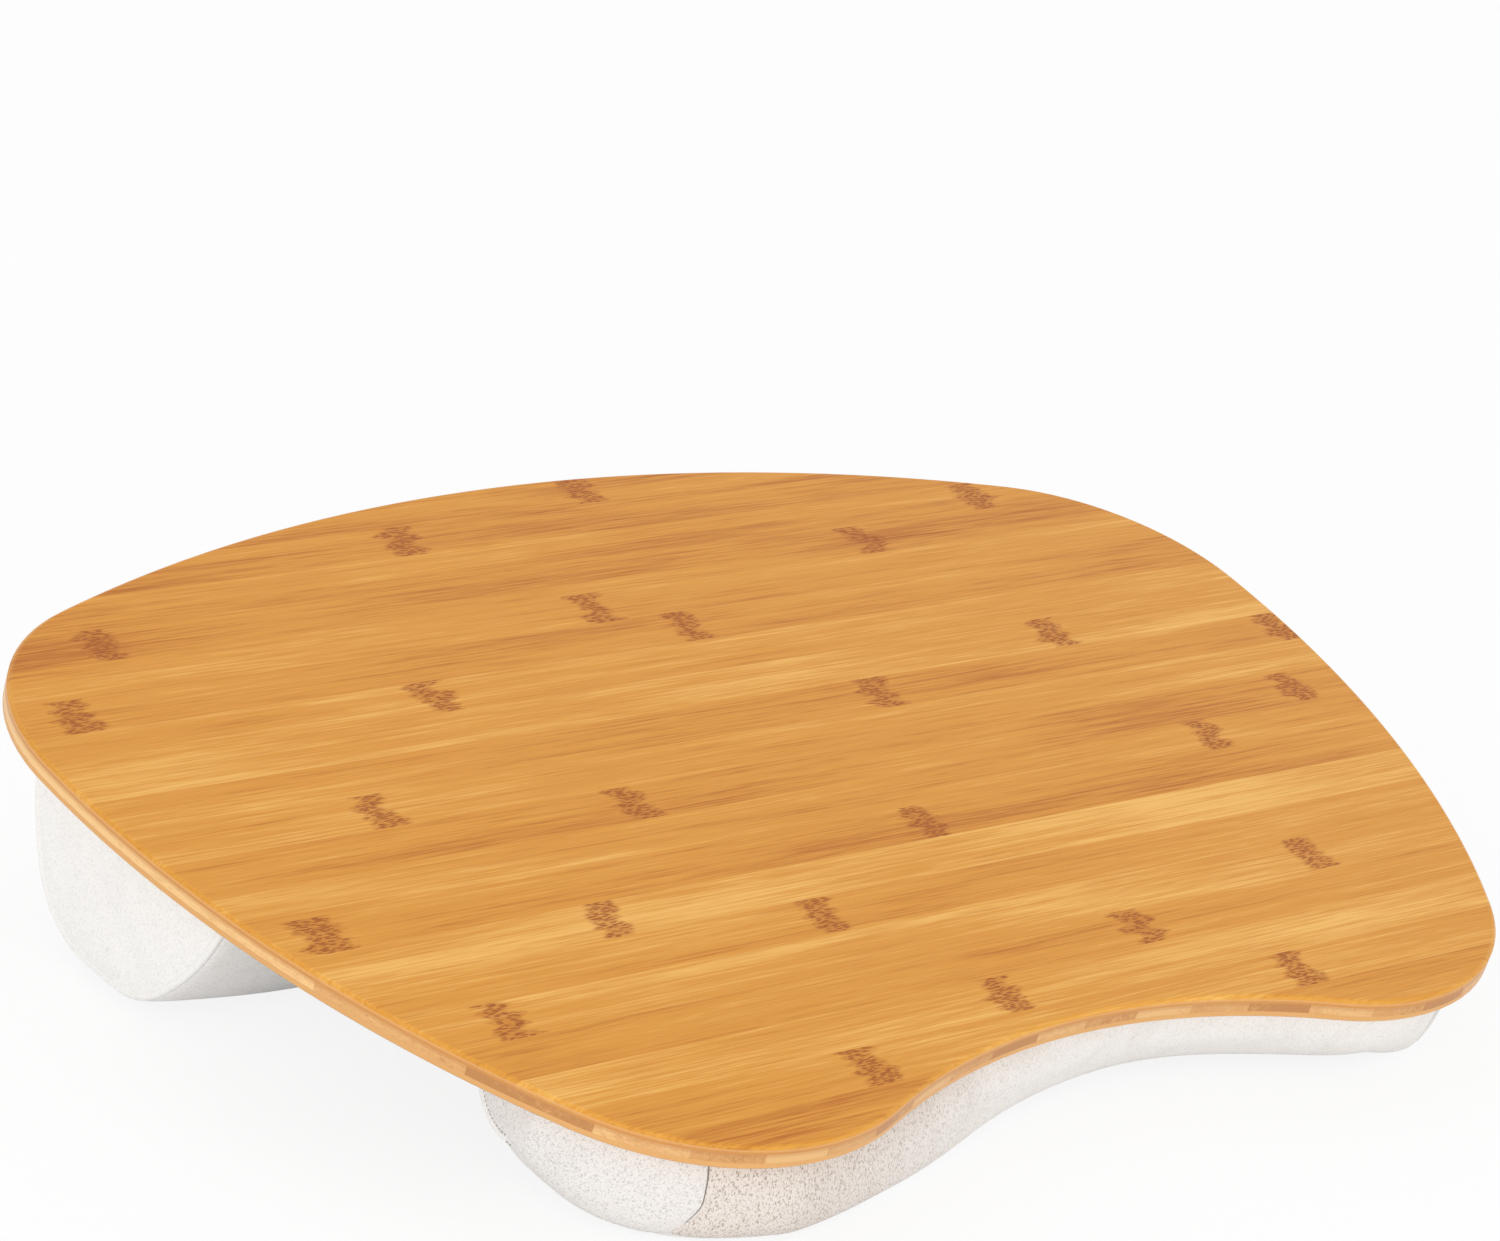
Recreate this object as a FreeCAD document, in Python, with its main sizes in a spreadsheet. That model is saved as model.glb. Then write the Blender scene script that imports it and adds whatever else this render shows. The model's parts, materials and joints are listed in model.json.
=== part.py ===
"""Lap tray: a bamboo board of three plies on a cushion with two stuffed bolsters.

Everything is drawn in the board's own frame: X to the right, Y from the front of the lobes to the back,
Z up from the underside of the board. The finished pieces then get one common placement that stands the
tray on its bolsters.
"""
import FreeCAD, Part
import math
import os

import Sketcher
from FreeCAD import Vector

# Driving sizes in millimetres
SIZES = {
    "board_width": 575.0,
    "board_depth": 392.0,
    "bay_depth": 30.5,
    "lobe_spread": 288.0,
    "lobe_radius": 91.0,
    "side_radius": 412.0,
    "corner_radius": 90.0,
    "back_radius": 625.0,
    "face_ply": 3.0,
    "core_ply": 3.5,
    "back_ply": 3.0,
    "edge_round": 2.0,
    "core_strip_width": 24.0,
    "glue_film": 0.3,
    "cloth": 1.5,
    "stuffing_gap": 0.4,
    "cushion_inset": 10.0,
    "rear_end_inset": 24.0,
    "rear_front_edge": 168.0,
    "rear_front_draw": 8.0,
    "rear_back_draw": 12.0,
    "rear_rest_line": 250.0,
    "rear_bolster_depth": 71.0,
    "bay_lean": 9.0,
    "front_end_reach": 75.0,
    "front_back_edge": 108.0,
    "front_end_draw": 20.0,
    "front_rest_line": 24.0,
    "front_bolster_depth": 38.0,
    "corner_seam_reach": 33.0,
    "floor_flat": 0.3,
    "overrun": 6.0,
}
FACE_STRIPS = 20

# Legs of the two flats that ease the board's edge, as shares of the round that they touch
ROUND_FLAT_SHARES = (2 - math.sqrt(2), math.tan(math.pi / 8) - math.tan(math.pi / 16))

# Stations along half a bolster as shares of its half length, with shares of the depth and the draw-in there
REAR_STATION_SHARES = (0.0, 0.35, 0.68, 0.88, 1.0)
REAR_DEPTH_SHARES = (1.0, 1.0, 1.0, 0.975, 0.94)
REAR_DRAW_SHARES = (0.0, 0.0, 0.15, 0.5, 1.0)
FRONT_STATION_SHARES = (0.0, 0.22, 0.44, 0.64, 0.82, 0.93, 1.0)
FRONT_DEPTH_SHARES = (1.0, 1.0, 1.0, 1.0, 0.96, 0.84, 0.43)
FRONT_DRAW_SHARES = (0.0, 0.0, 0.05, 0.15, 0.4, 0.7, 1.0)

# Arcs and the flat of a bolster's section: points as shares of its width from the front and of its depth
REAR_SECTION_SHARES = (
    ((0.0, 0.0), (0.08, 0.46), (0.19, 0.775)),
    ((0.19, 0.775), (0.285, 0.94), (0.40, 1.0)),
    ((0.40, 1.0), (0.60, 1.0)),
    ((0.60, 1.0), (0.76, 0.90), (0.88, 0.67)),
    ((0.88, 0.67), (0.965, 0.36), (1.0, 0.0)),
)
FRONT_SECTION_SHARES = (
    ((0.0, 0.0), (-0.02, 0.40), (0.01, 0.76)),
    ((0.01, 0.76), (0.064, 0.925), (0.14, 1.0)),
    ((0.14, 1.0), (0.42, 1.0)),
    ((0.42, 1.0), (0.60, 0.945), (0.74, 0.84)),
    ((0.74, 0.84), (0.93, 0.52), (1.0, 0.0)),
)
WALL_WIDTH_SHARE = 0.12
WALL_DEPTH_SHARE = 0.80

doc = FreeCAD.newDocument("lap_tray")
sheet = doc.addObject("Spreadsheet::Sheet", "Sizes")
for row, (alias, value) in enumerate(SIZES.items(), start=1):
    sheet.set(f"A{row}", alias)
    sheet.set(f"B{row}", str(value))
    sheet.setAlias(f"B{row}", alias)
doc.recompute()


def size(alias):
    """One driving size, read from the sheet."""
    return float(sheet.get(alias))


def bind(item, **bindings):
    """Bind properties of an object to expressions over the sheet; two underscores stand for a dot."""
    for name, expression in bindings.items():
        item.setExpression(name.replace("__", "."), expression)


# Centres and radii of the board's outline, from the tangency of its arcs
class Outline:
    """The chain of tangent arcs round the board, or round a cloth inset from it."""

    def __init__(self):
        self.lobe_r = size("lobe_radius")
        self.side_r = size("side_radius")
        self.corner_r = size("corner_radius")
        self.back_r = size("back_radius")
        self.lobe = Vector(size("lobe_spread") / 2, self.lobe_r, 0)
        side_x = size("board_width") / 2 - self.side_r
        reach = self.side_r - self.lobe_r
        side_y = self.lobe.y + math.sqrt(reach**2 - (self.lobe.x - side_x) ** 2)
        self.side = Vector(side_x, side_y, 0)
        self.back = Vector(0, size("board_depth") - self.back_r, 0)
        corner_reach = (self.side_r - self.corner_r, self.back_r - self.corner_r)
        self.corner = self.meet(self.side, corner_reach[0], self.back, corner_reach[1])
        bay = size("bay_depth")
        lobe_rise = self.lobe_r - bay
        self.bay_r = (self.lobe.x**2 + lobe_rise**2 - self.lobe_r**2) / (2 * bay)
        self.bay = Vector(0, bay - self.bay_r, 0)

    @staticmethod
    def meet(first, first_r, second, second_r):
        """The right-hand point at the given distances from two centres."""
        across = second - first
        apart = across.Length
        along = (first_r**2 - second_r**2 + apart**2) / (2 * apart)
        rise = math.sqrt(first_r**2 - along**2)
        unit = across / apart
        foot = first + unit * along
        side = Vector(-unit.y, unit.x, 0) * rise
        return max(foot + side, foot - side, key=lambda point: point.x)

    @staticmethod
    def heading(start, end):
        """Angle of the line from one centre to another."""
        return math.atan2(end.y - start.y, end.x - start.x)

    def arcs(self, inset):
        """Centre, radius, start and end angle of the eight anticlockwise arcs, starting with the bay."""
        to_lobe = self.heading(self.bay, self.lobe)
        lobe_out = self.heading(self.side, self.lobe)
        side_out = self.heading(self.side, self.corner)
        corner_out = self.heading(self.back, self.corner)
        right = [
            (self.lobe, self.lobe_r - inset, to_lobe - math.pi, lobe_out),
            (self.side, self.side_r - inset, lobe_out, side_out),
            (self.corner, self.corner_r - inset, side_out, corner_out),
        ]
        left = []
        for centre, radius, start, end in reversed(right):
            left.append((Vector(-centre.x, centre.y, 0), radius, math.pi - end, math.pi - start))
        bay = (self.bay, self.bay_r + inset, to_lobe, math.pi - to_lobe)
        back = (self.back, self.back_r - inset, corner_out, math.pi - corner_out)
        return [bay, *right, back, *left]

    def front_y(self, x, inset):
        """Where the inset outline's front runs at a distance from the middle."""
        x = abs(x)
        to_lobe = self.heading(self.bay, self.lobe)
        lobe_out = self.heading(self.side, self.lobe)
        if x < self.bay.x + (self.bay_r + inset) * math.cos(to_lobe):
            return self.bay.y + math.sqrt((self.bay_r + inset) ** 2 - x**2)
        if x < self.lobe.x + (self.lobe_r - inset) * math.cos(lobe_out):
            return self.lobe.y - math.sqrt((self.lobe_r - inset) ** 2 - (x - self.lobe.x) ** 2)
        return self.side.y - math.sqrt((self.side_r - inset) ** 2 - (x - self.side.x) ** 2)

    def back_y(self, x, inset):
        """Where the inset outline's back runs at a distance from the middle."""
        x = abs(x)
        corner_out = self.heading(self.back, self.corner)
        side_out = self.heading(self.side, self.corner)
        if x < self.back.x + (self.back_r - inset) * math.cos(corner_out):
            return self.back.y + math.sqrt((self.back_r - inset) ** 2 - x**2)
        if x < self.corner.x + (self.corner_r - inset) * math.cos(side_out):
            return self.corner.y + math.sqrt((self.corner_r - inset) ** 2 - (x - self.corner.x) ** 2)
        return self.side.y + math.sqrt((self.side_r - inset) ** 2 - (x - self.side.x) ** 2)


outline = Outline()

# Numbers by which a sketch knows the arcs, the points on an arc and its own axes
BAY, LOBE, SIDE, CORNER, BACK, LEFT_CORNER, LEFT_SIDE, LEFT_LOBE = range(8)
START, END, CENTRE = range(1, 4)
LEVEL_AXIS, UPRIGHT_AXIS = range(-1, -3, -1)
ORIGIN = (LEVEL_AXIS, START)


def outline_sketch(body, inset_expression, inset, level_expression):
    """A constrained sketch of the outline on the body's XY plane, at a level bound to the sheet."""
    plane = next(item for item in body.Origin.OriginFeatures if item.Role == "XY_Plane")
    sketch = body.newObject("Sketcher::SketchObject", body.Name + "_outline")
    sketch.AttachmentSupport = [(plane, "")]
    sketch.MapMode = "FlatFace"
    bind(sketch, AttachmentOffset__Base__z=level_expression)
    for centre, radius, start, end in outline.arcs(inset):
        circle = Part.Circle(centre, Vector(0, 0, 1), radius)
        sketch.addGeometry(Part.ArcOfCircle(circle, start, end))
    sketch.addConstraint(Sketcher.Constraint("Tangent", BAY, START, LOBE, START))
    for first in range(LOBE, LEFT_LOBE):
        sketch.addConstraint(Sketcher.Constraint("Tangent", first, END, first + 1, START))
    sketch.addConstraint(Sketcher.Constraint("Tangent", LEFT_LOBE, END, BAY, END))
    for pair in ((LOBE, LEFT_LOBE), (SIDE, LEFT_SIDE), (CORNER, LEFT_CORNER)):
        sketch.addConstraint(Sketcher.Constraint("Equal", *pair))
    for middle in (BAY, BACK):
        sketch.addConstraint(Sketcher.Constraint("PointOnObject", middle, CENTRE, UPRIGHT_AXIS))
    sketch.addConstraint(Sketcher.Constraint("Horizontal", LOBE, CENTRE, LEFT_LOBE, CENTRE))
    side_right = "board_width / 2 - Sizes.side_radius"
    side_left = "side_radius - Sizes.board_width / 2"
    driving = (
        ("lobe_r", ("Radius", LOBE), outline.lobe_r - inset, "lobe_radius - {0}"),
        ("side_r", ("Radius", SIDE), outline.side_r - inset, "side_radius - {0}"),
        ("corner_r", ("Radius", CORNER), outline.corner_r - inset, "corner_radius - {0}"),
        ("back_r", ("Radius", BACK), outline.back_r - inset, "back_radius - {0}"),
        ("lobe_x", ("DistanceX", *ORIGIN, LOBE, CENTRE), outline.lobe.x, "lobe_spread / 2"),
        ("lobe_y", ("DistanceY", *ORIGIN, LOBE, CENTRE), outline.lobe.y, "lobe_radius"),
        ("side_x", ("DistanceX", *ORIGIN, SIDE, CENTRE), outline.side.x, side_right),
        ("left_x", ("DistanceX", *ORIGIN, LEFT_SIDE, CENTRE), -outline.side.x, side_left),
        ("back_y", ("DistanceY", *ORIGIN, BACK, CENTRE), outline.back.y, "board_depth - Sizes.back_radius"),
    )
    for name, kind, value, expression in driving:
        index = sketch.addConstraint(Sketcher.Constraint(*kind, value))
        sketch.renameConstraint(index, name)
        sketch.setExpression("Constraints." + name, "Sizes." + expression.format(inset_expression))
    return sketch


def sheet_body(name, thickness_expression, level_expression, inset_expression="0", inset=0):
    """A flat body with the board's outline, or one inset from it."""
    body = doc.addObject("PartDesign::Body", name)
    sketch = outline_sketch(body, inset_expression, inset, level_expression)
    pad = body.newObject("PartDesign::Pad", name + "_pad")
    pad.Profile = sketch
    sketch.Visibility = False
    bind(pad, Length=thickness_expression)
    doc.recompute()
    return body


def ease_rim(body, level):
    """Ease the outer arris of a ply on one of its two faces with flats that touch a round."""
    for number, share in enumerate(ROUND_FLAT_SHARES, start=1):
        base = body.Tip
        rim = []
        for edge_number, edge in enumerate(base.Shape.Edges, start=1):
            box = edge.BoundBox
            if abs(box.ZMin - level) + abs(box.ZMax - level) < Part.Vertex(0, 0, 0).Tolerance:
                rim.append(f"Edge{edge_number}")
        flat = body.newObject("PartDesign::Chamfer", f"{body.Name}_flat_{number}")
        flat.Base = (base, rim)
        bind(flat, Size=f"Sizes.edge_round * {share}")
        body.Tip = flat
        doc.recompute()


finished = []


def finish(item, label):
    """Give a finished piece its name."""
    item.Label = label
    finished.append(item)


def strip(name, ply, bindings):
    """One strip of a ply: the part of it inside a box that is bound to the sheet."""
    box = doc.addObject("Part::Box", name + "_stock")
    bind(box, **bindings)
    piece = doc.addObject("Part::Common", name)
    piece.Base = ply
    piece.Tool = box
    return piece


def place_in_row(total, number, count):
    """Start and length of one strip of a row; the two outer strips run past the board's edge."""
    start = f"{total} * {number} / {count}"
    length = f"{total} / {count}"
    if number == 0:
        start += " - Sizes.overrun"
    if number in (0, count - 1):
        length += " + Sizes.overrun"
    return start, length


def lengthwise(number, thickness, level):
    """Box of a strip that runs left to right."""
    start, width = place_in_row("Sizes.board_depth", number, FACE_STRIPS)
    return {
        "Length": "Sizes.board_width + 2 * Sizes.overrun",
        "Width": width,
        "Height": thickness + " + 2 * Sizes.overrun",
        "Placement__Base__x": "-Sizes.board_width / 2 - Sizes.overrun",
        "Placement__Base__y": start,
        "Placement__Base__z": level + " - Sizes.overrun",
    }


def crosswise(number, count, thickness, level):
    """Box of a strip that runs front to back."""
    start, length = place_in_row("Sizes.board_width", number, count)
    return {
        "Length": length,
        "Width": "Sizes.board_depth + 2 * Sizes.overrun",
        "Height": thickness + " + 2 * Sizes.overrun",
        "Placement__Base__x": start + " - Sizes.board_width / 2",
        "Placement__Base__y": "-Sizes.overrun",
        "Placement__Base__z": level + " - Sizes.overrun",
    }


# The board: back ply, cross core and top ply, each of glued strips
def make_board():
    """All strips of the board; those of the top face are pieces of their own."""
    core_thick = "Sizes.core_ply"
    core_level = "Sizes.back_ply"
    face_level = "Sizes.back_ply + Sizes.core_ply"
    back_blank = sheet_body("back_ply_blank", "Sizes.back_ply", "0")
    ease_rim(back_blank, 0)
    core_blank = sheet_body("core_ply_blank", core_thick, core_level)
    face_blank = sheet_body("face_ply_blank", "Sizes.face_ply", face_level)
    ease_rim(face_blank, size("back_ply") + size("core_ply") + size("face_ply"))

    for number in range(FACE_STRIPS):
        label = f"top_strip_{number + 1:02d}"
        finish(strip(label, face_blank, lengthwise(number, "Sizes.face_ply", face_level)), label)

    core_count = round(size("board_width") / size("core_strip_width"))
    core = doc.addObject("Part::Compound", "core_ply")
    core.Links = [
        strip(f"core_strip_{number}", core_blank, crosswise(number, core_count, core_thick, core_level))
        for number in range(core_count)
    ]
    finish(core, "core_ply")
    back = doc.addObject("Part::Compound", "back_ply")
    back.Links = [
        strip(f"back_strip_{number}", back_blank, lengthwise(number, "Sizes.back_ply", "0"))
        for number in range(FACE_STRIPS)
    ]
    finish(back, "back_ply")


# The flat layers between the board and the bolsters
def make_base():
    """Glue film and base cloth, inset from the board's outline as the bolsters are."""
    inset = size("cushion_inset")
    glue = sheet_body("glue_film", "Sizes.glue_film", "-Sizes.glue_film", "Sizes.cushion_inset", inset)
    finish(glue, "glue_film")
    level = "-Sizes.glue_film - Sizes.cloth"
    finish(sheet_body("base_cloth", "Sizes.cloth", level, "Sizes.cushion_inset", inset), "base_cloth")


# The floor that both bolsters rest on, in the board's frame
class Floor:
    """Plane through the two rest lines, which sets the board's tilt; the bolsters are cut flat on it."""

    def __init__(self):
        self.top = -size("glue_film") - size("cloth")
        self.front_line = size("front_rest_line")
        self.front_depth = size("front_bolster_depth")
        fall = size("rear_bolster_depth") - self.front_depth
        self.slope = fall / (size("rear_rest_line") - self.front_line)
        self.angle = math.atan(self.slope)
        self.level = (self.top - self.depth(0)) * math.cos(self.angle) + size("floor_flat")

    def depth(self, y):
        """Depth below the base cloth at a distance from the front of the board."""
        return self.front_depth + (y - self.front_line) * self.slope

    def placement(self):
        """Placement that stands the tray on this floor, with the board's box centred on the origin."""
        ease = size("edge_round") * ROUND_FLAT_SHARES[0]
        thickness = size("back_ply") + size("core_ply") + size("face_ply")
        turn = FreeCAD.Rotation(Vector(1, 0, 0), math.degrees(self.angle))
        front = turn.multVec(Vector(0, 0, thickness - ease)).y
        back = turn.multVec(Vector(0, size("board_depth"), ease)).y
        return FreeCAD.Placement(Vector(0, -(front + back) / 2, -self.level), turn)

    def block(self):
        """Everything below the floor, as a block with room to spare."""
        ground = doc.addObject("Part::Box", "ground")
        bind(ground, Length="2 * Sizes.board_width", Width="3 * Sizes.board_depth")
        bind(ground, Height="Sizes.board_depth")
        turn = FreeCAD.Rotation(Vector(1, 0, 0), -math.degrees(self.angle))
        corner = Vector(-size("board_width"), -size("board_depth"), self.level - size("board_depth"))
        ground.Placement = FreeCAD.Placement(turn.multVec(corner), turn)
        return ground


def both_sides(shares):
    """Shares for a whole length, from those of its right half."""
    return tuple(-share for share in reversed(shares[1:])) + tuple(shares)


def mirrored(shares):
    """A row of values for a whole length, from those of its right half."""
    return tuple(reversed(shares[1:])) + tuple(shares)


class Bolster:
    """A stuffed roll: sections at stations along X, each a flat top over arcs and a flat to rest on."""

    def __init__(self, ground, half_length, stations, depths, draws, section_shares):
        self.ground = ground
        self.half_length = half_length
        self.section_shares = section_shares
        self.rows = list(zip(both_sides(stations), mirrored(depths), mirrored(draws)))
        resting = [number for number, row in enumerate(self.rows) if row[1] == 1]
        self.first_resting, self.last_resting = resting[0], resting[-1]

    def edges_y(self, x, draw):
        """Front and back edge of the section at a station."""
        raise NotImplementedError

    def lean(self, x):
        """How far the front wall leans out at a distance from the middle."""
        return 0

    def place(self, row, shrink):
        """Point on a station's section from shares of its width and depth."""
        station, row_depth_share, draw = row
        x = station * self.half_length
        front, back = self.edges_y(x, draw)
        front += shrink
        back -= shrink
        lean = self.lean(x)

        def point(width_share, depth_share):
            y = front + (back - front) * width_share - lean * depth_share * (1 - width_share)
            depth = self.ground.depth(y) * row_depth_share - shrink
            return Vector(x, y, self.ground.top - depth * depth_share)

        return point

    def section(self, row, shrink=0, lift=0):
        """Closed wire of a station's section, smaller all round or raised at the top."""
        point = self.place(row, shrink)
        edges = []
        for shares in self.section_shares:
            points = [point(*share) for share in shares]
            curve = Part.LineSegment(*points) if len(points) == 2 else Part.Arc(*points)
            edges.append(curve.toShape())
        front, back = point(0, 0), point(1, 0)
        corners = [back, front]
        if lift:
            up = Vector(0, 0, lift)
            corners = [back, back + up, front + up, front]
        edges += [Part.LineSegment(start, end).toShape() for start, end in zip(corners, corners[1:])]
        return Part.Wire(edges)

    def solid(self, shrink=0, lift=0, end_gap=0):
        """The roll in three lofts: the length that rests on the floor, and two ends that rise from it."""
        sections = [self.section(row, shrink, lift) for row in self.rows]
        sections[0].translate(Vector(end_gap, 0, 0))
        sections[-1].translate(Vector(-end_gap, 0, 0))
        spans = (
            sections[: self.first_resting + 1],
            sections[self.first_resting : self.last_resting + 1],
            sections[self.last_resting :],
        )
        left, middle, right = (Part.makeLoft(span, True, False) for span in spans)
        return middle.fuse([left, right])

    def end_panel(self, side):
        """Flat cloth panel against one end of the roll: side is 1 on the right and -1 on the left."""
        row = self.rows[-1] if side > 0 else self.rows[0]
        return Part.Face(self.section(row)).extrude(Vector(side * size("cloth"), 0, 0))


class RearBolster(Bolster):
    """The thick roll under the back of the board, following the board's back edge."""

    def __init__(self, ground):
        half_length = size("board_width") / 2 - size("rear_end_inset")
        rows = (REAR_STATION_SHARES, REAR_DEPTH_SHARES, REAR_DRAW_SHARES)
        super().__init__(ground, half_length, *rows, REAR_SECTION_SHARES)

    def edges_y(self, x, draw):
        """Straight front edge and inset back edge, both drawn in at the ends."""
        front = size("rear_front_edge") + size("rear_front_draw") * draw
        return front, outline.back_y(x, size("cushion_inset")) - size("rear_back_draw") * draw


class FrontBolster(Bolster):
    """The thin roll under the front of the board, with a wall that follows the bay and the lobes."""

    def __init__(self, ground):
        half_length = outline.lobe.x + size("front_end_reach")
        rows = (FRONT_STATION_SHARES, FRONT_DEPTH_SHARES, FRONT_DRAW_SHARES)
        super().__init__(ground, half_length, *rows, FRONT_SECTION_SHARES)

    def edges_y(self, x, draw):
        """Front edge inset from the board's; back edge drawn forward at the ends."""
        front = outline.front_y(x, size("cushion_inset"))
        return front, size("front_back_edge") - size("front_end_draw") * draw

    def lean(self, x):
        """The wall leans out in the bay, where the stuffing pushes it, and stands upright at the lobes."""
        return size("bay_lean") * max(0, 1 - (x / outline.lobe.x) ** 2)

    def wall_zone(self, low, high):
        """Block that holds the upright wall between two distances along X."""
        over = size("overrun")
        bottom = self.ground.top - size("front_bolster_depth") * WALL_DEPTH_SHARE
        places = [row[0] * self.half_length for row in self.rows]
        between = [x for x in places if low < x < high]
        sections = []
        for x in (low, *between, high):
            reach = min(abs(x), self.half_length)
            front, back = self.edges_y(reach, 0)
            outer = front - over - self.lean(reach)
            inner = front + (back - front) * WALL_WIDTH_SHARE
            corners = [(outer, over), (inner, over), (inner, bottom), (outer, bottom)]
            points = [Vector(x, y, z) for y, z in corners]
            sections.append(Part.makePolygon(points + points[:1]))
        return Part.makeLoft(sections, True, True)


def feature(name, shape):
    """A document object that holds a shape worked out here."""
    item = doc.addObject("Part::Feature", name)
    item.Shape = shape
    return item


def cut(name, base, tool):
    """One object less another."""
    item = doc.addObject("Part::Cut", name)
    item.Base = base
    item.Tool = tool
    return item


# The cushion: wraps, end panels, front wall and stuffing of both rolls
def make_cushion(rear, front, ground):
    """All pieces of both bolsters, flat where they rest on the ground."""
    cloth = size("cloth")
    over = size("overrun")
    gap = size("stuffing_gap")

    shells = {}
    for name, roll in (("rear", rear), ("front", front)):
        outer = feature(name + "_outside", roll.solid())
        room = feature(name + "_room", roll.solid(shrink=cloth, lift=over))
        shells[name] = cut(name + "_shell", cut(name + "_seated", outer, ground), room)

    finish(shells["rear"], "rear_wrap")
    for side, word in ((-1, "left"), (1, "right")):
        finish(feature("rear_end_" + word, rear.end_panel(side)), "rear_end_" + word)

    seam = outline.lobe.x + size("corner_seam_reach")
    reach = front.half_length + over
    middle_zone = feature("front_wall_zone", front.wall_zone(-seam, seam))
    whole_zone = feature("whole_wall_zone", front.wall_zone(-reach, reach))
    finish(cut("front_wrap", shells["front"], whole_zone), "front_wrap")
    wall = doc.addObject("Part::Common", "front_wall")
    wall.Base = shells["front"]
    wall.Tool = middle_zone
    finish(wall, "front_wall")
    for side, word in ((-1, "left"), (1, "right")):
        low, high = sorted((side * seam, side * reach))
        side_wall = doc.addObject("Part::Common", "front_side_" + word)
        side_wall.Base = shells["front"]
        side_wall.Tool = feature("front_zone_" + word, front.wall_zone(low, high))
        end = doc.addObject("Part::Fuse", "front_end_" + word)
        end.Base = side_wall
        end.Tool = feature("front_plate_" + word, front.end_panel(side))
        finish(end, "front_end_" + word)

    for name, roll in (("rear", rear), ("front", front)):
        stuffing = roll.solid(shrink=cloth + 2 * gap, end_gap=gap)
        stuffing.translate(Vector(0, 0, -gap))
        finish(feature(name + "_stuffing", stuffing), name + "_stuffing")


def check_and_write(placement):
    """Place every finished piece, check the whole document and write one file for each piece."""
    doc.recompute()
    for item in finished:
        item.Placement = placement
    doc.recompute()
    for item in doc.Objects:
        bad = {"Invalid", "Error"} & set(item.State)
        if bad:
            raise RuntimeError(f"{item.Label} failed: {item.State}")
    for item in finished:
        if item.Shape.isNull() or not item.Shape.isValid() or not item.Shape.Solids:
            raise RuntimeError(f"{item.Label} has no valid solid")
    os.makedirs("parts", exist_ok=True)
    for item in finished:
        item.Shape.exportStep(f"parts/{item.Label}.step")
        print(f"{item.Label}: {len(item.Shape.Solids)} solids, {item.Shape.Volume:.0f} mm3")


make_board()
make_base()
floor = Floor()
print(f"board tilts {math.degrees(floor.angle):.2f} degrees")
make_cushion(RearBolster(floor), FrontBolster(floor), floor.block())
check_and_write(floor.placement())
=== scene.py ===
"""Looks of a lap tray: a lacquered bamboo board bonded to a cloth cushion with two stuffed bolsters.

Lengths are in metres. Places on the tray are worked out in the board's own plane: x to the right, y from the
front edge of the board to its back edge, and z up from its top face.
"""

import json
import logging
import math
from dataclasses import dataclass, field
from enum import Enum
from typing import Any, Iterable, Sequence

import bmesh
import bpy
import numpy as np
from mathutils import Matrix, Vector
from mathutils.bvhtree import BVHTree

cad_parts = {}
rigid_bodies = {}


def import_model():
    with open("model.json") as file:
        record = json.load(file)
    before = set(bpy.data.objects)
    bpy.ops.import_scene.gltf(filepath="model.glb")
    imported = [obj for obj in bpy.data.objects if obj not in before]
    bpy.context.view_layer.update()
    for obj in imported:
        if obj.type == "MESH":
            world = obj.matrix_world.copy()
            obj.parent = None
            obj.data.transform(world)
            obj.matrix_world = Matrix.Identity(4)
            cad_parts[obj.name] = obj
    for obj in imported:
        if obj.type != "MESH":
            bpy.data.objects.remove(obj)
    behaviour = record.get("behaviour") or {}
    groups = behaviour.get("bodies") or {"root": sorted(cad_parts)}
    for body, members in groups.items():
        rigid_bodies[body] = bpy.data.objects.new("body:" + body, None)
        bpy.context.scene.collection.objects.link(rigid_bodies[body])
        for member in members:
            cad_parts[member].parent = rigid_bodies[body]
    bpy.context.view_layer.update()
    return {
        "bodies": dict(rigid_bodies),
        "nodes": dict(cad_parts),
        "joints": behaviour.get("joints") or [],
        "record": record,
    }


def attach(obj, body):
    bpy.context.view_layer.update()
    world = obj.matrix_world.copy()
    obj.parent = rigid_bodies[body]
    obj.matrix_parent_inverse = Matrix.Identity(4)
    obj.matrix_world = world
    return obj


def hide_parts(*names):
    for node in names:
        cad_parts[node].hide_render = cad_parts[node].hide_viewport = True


LOG = logging.getLogger("lap_tray")
BODY = "root"
FAR_OFF = 9.0
WHITE = (1.0, 1.0, 1.0, 1.0)
Colour = tuple[float, float, float, float]
Triple = tuple[float, float, float]
Face = tuple[int, ...]
Socket = bpy.types.NodeSocket
Piece = bpy.types.Object
Nodes = dict[str, bpy.types.Object]


def shade(red: int, green: int, blue: int) -> Colour:
    """Turn a colour as seen on a screen into the linear one that a shader takes.

    Args:
        red: red from 0 to 255.
        green: green from 0 to 255.
        blue: blue from 0 to 255.

    Returns:
        The linear colour with full alpha.
    """
    linear = []
    for value in (red / 255, green / 255, blue / 255):
        linear.append(value / 12.92 if value <= 0.04045 else ((value + 0.055) / 1.055) ** 2.4)
    return linear[0], linear[1], linear[2], 1.0


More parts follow.
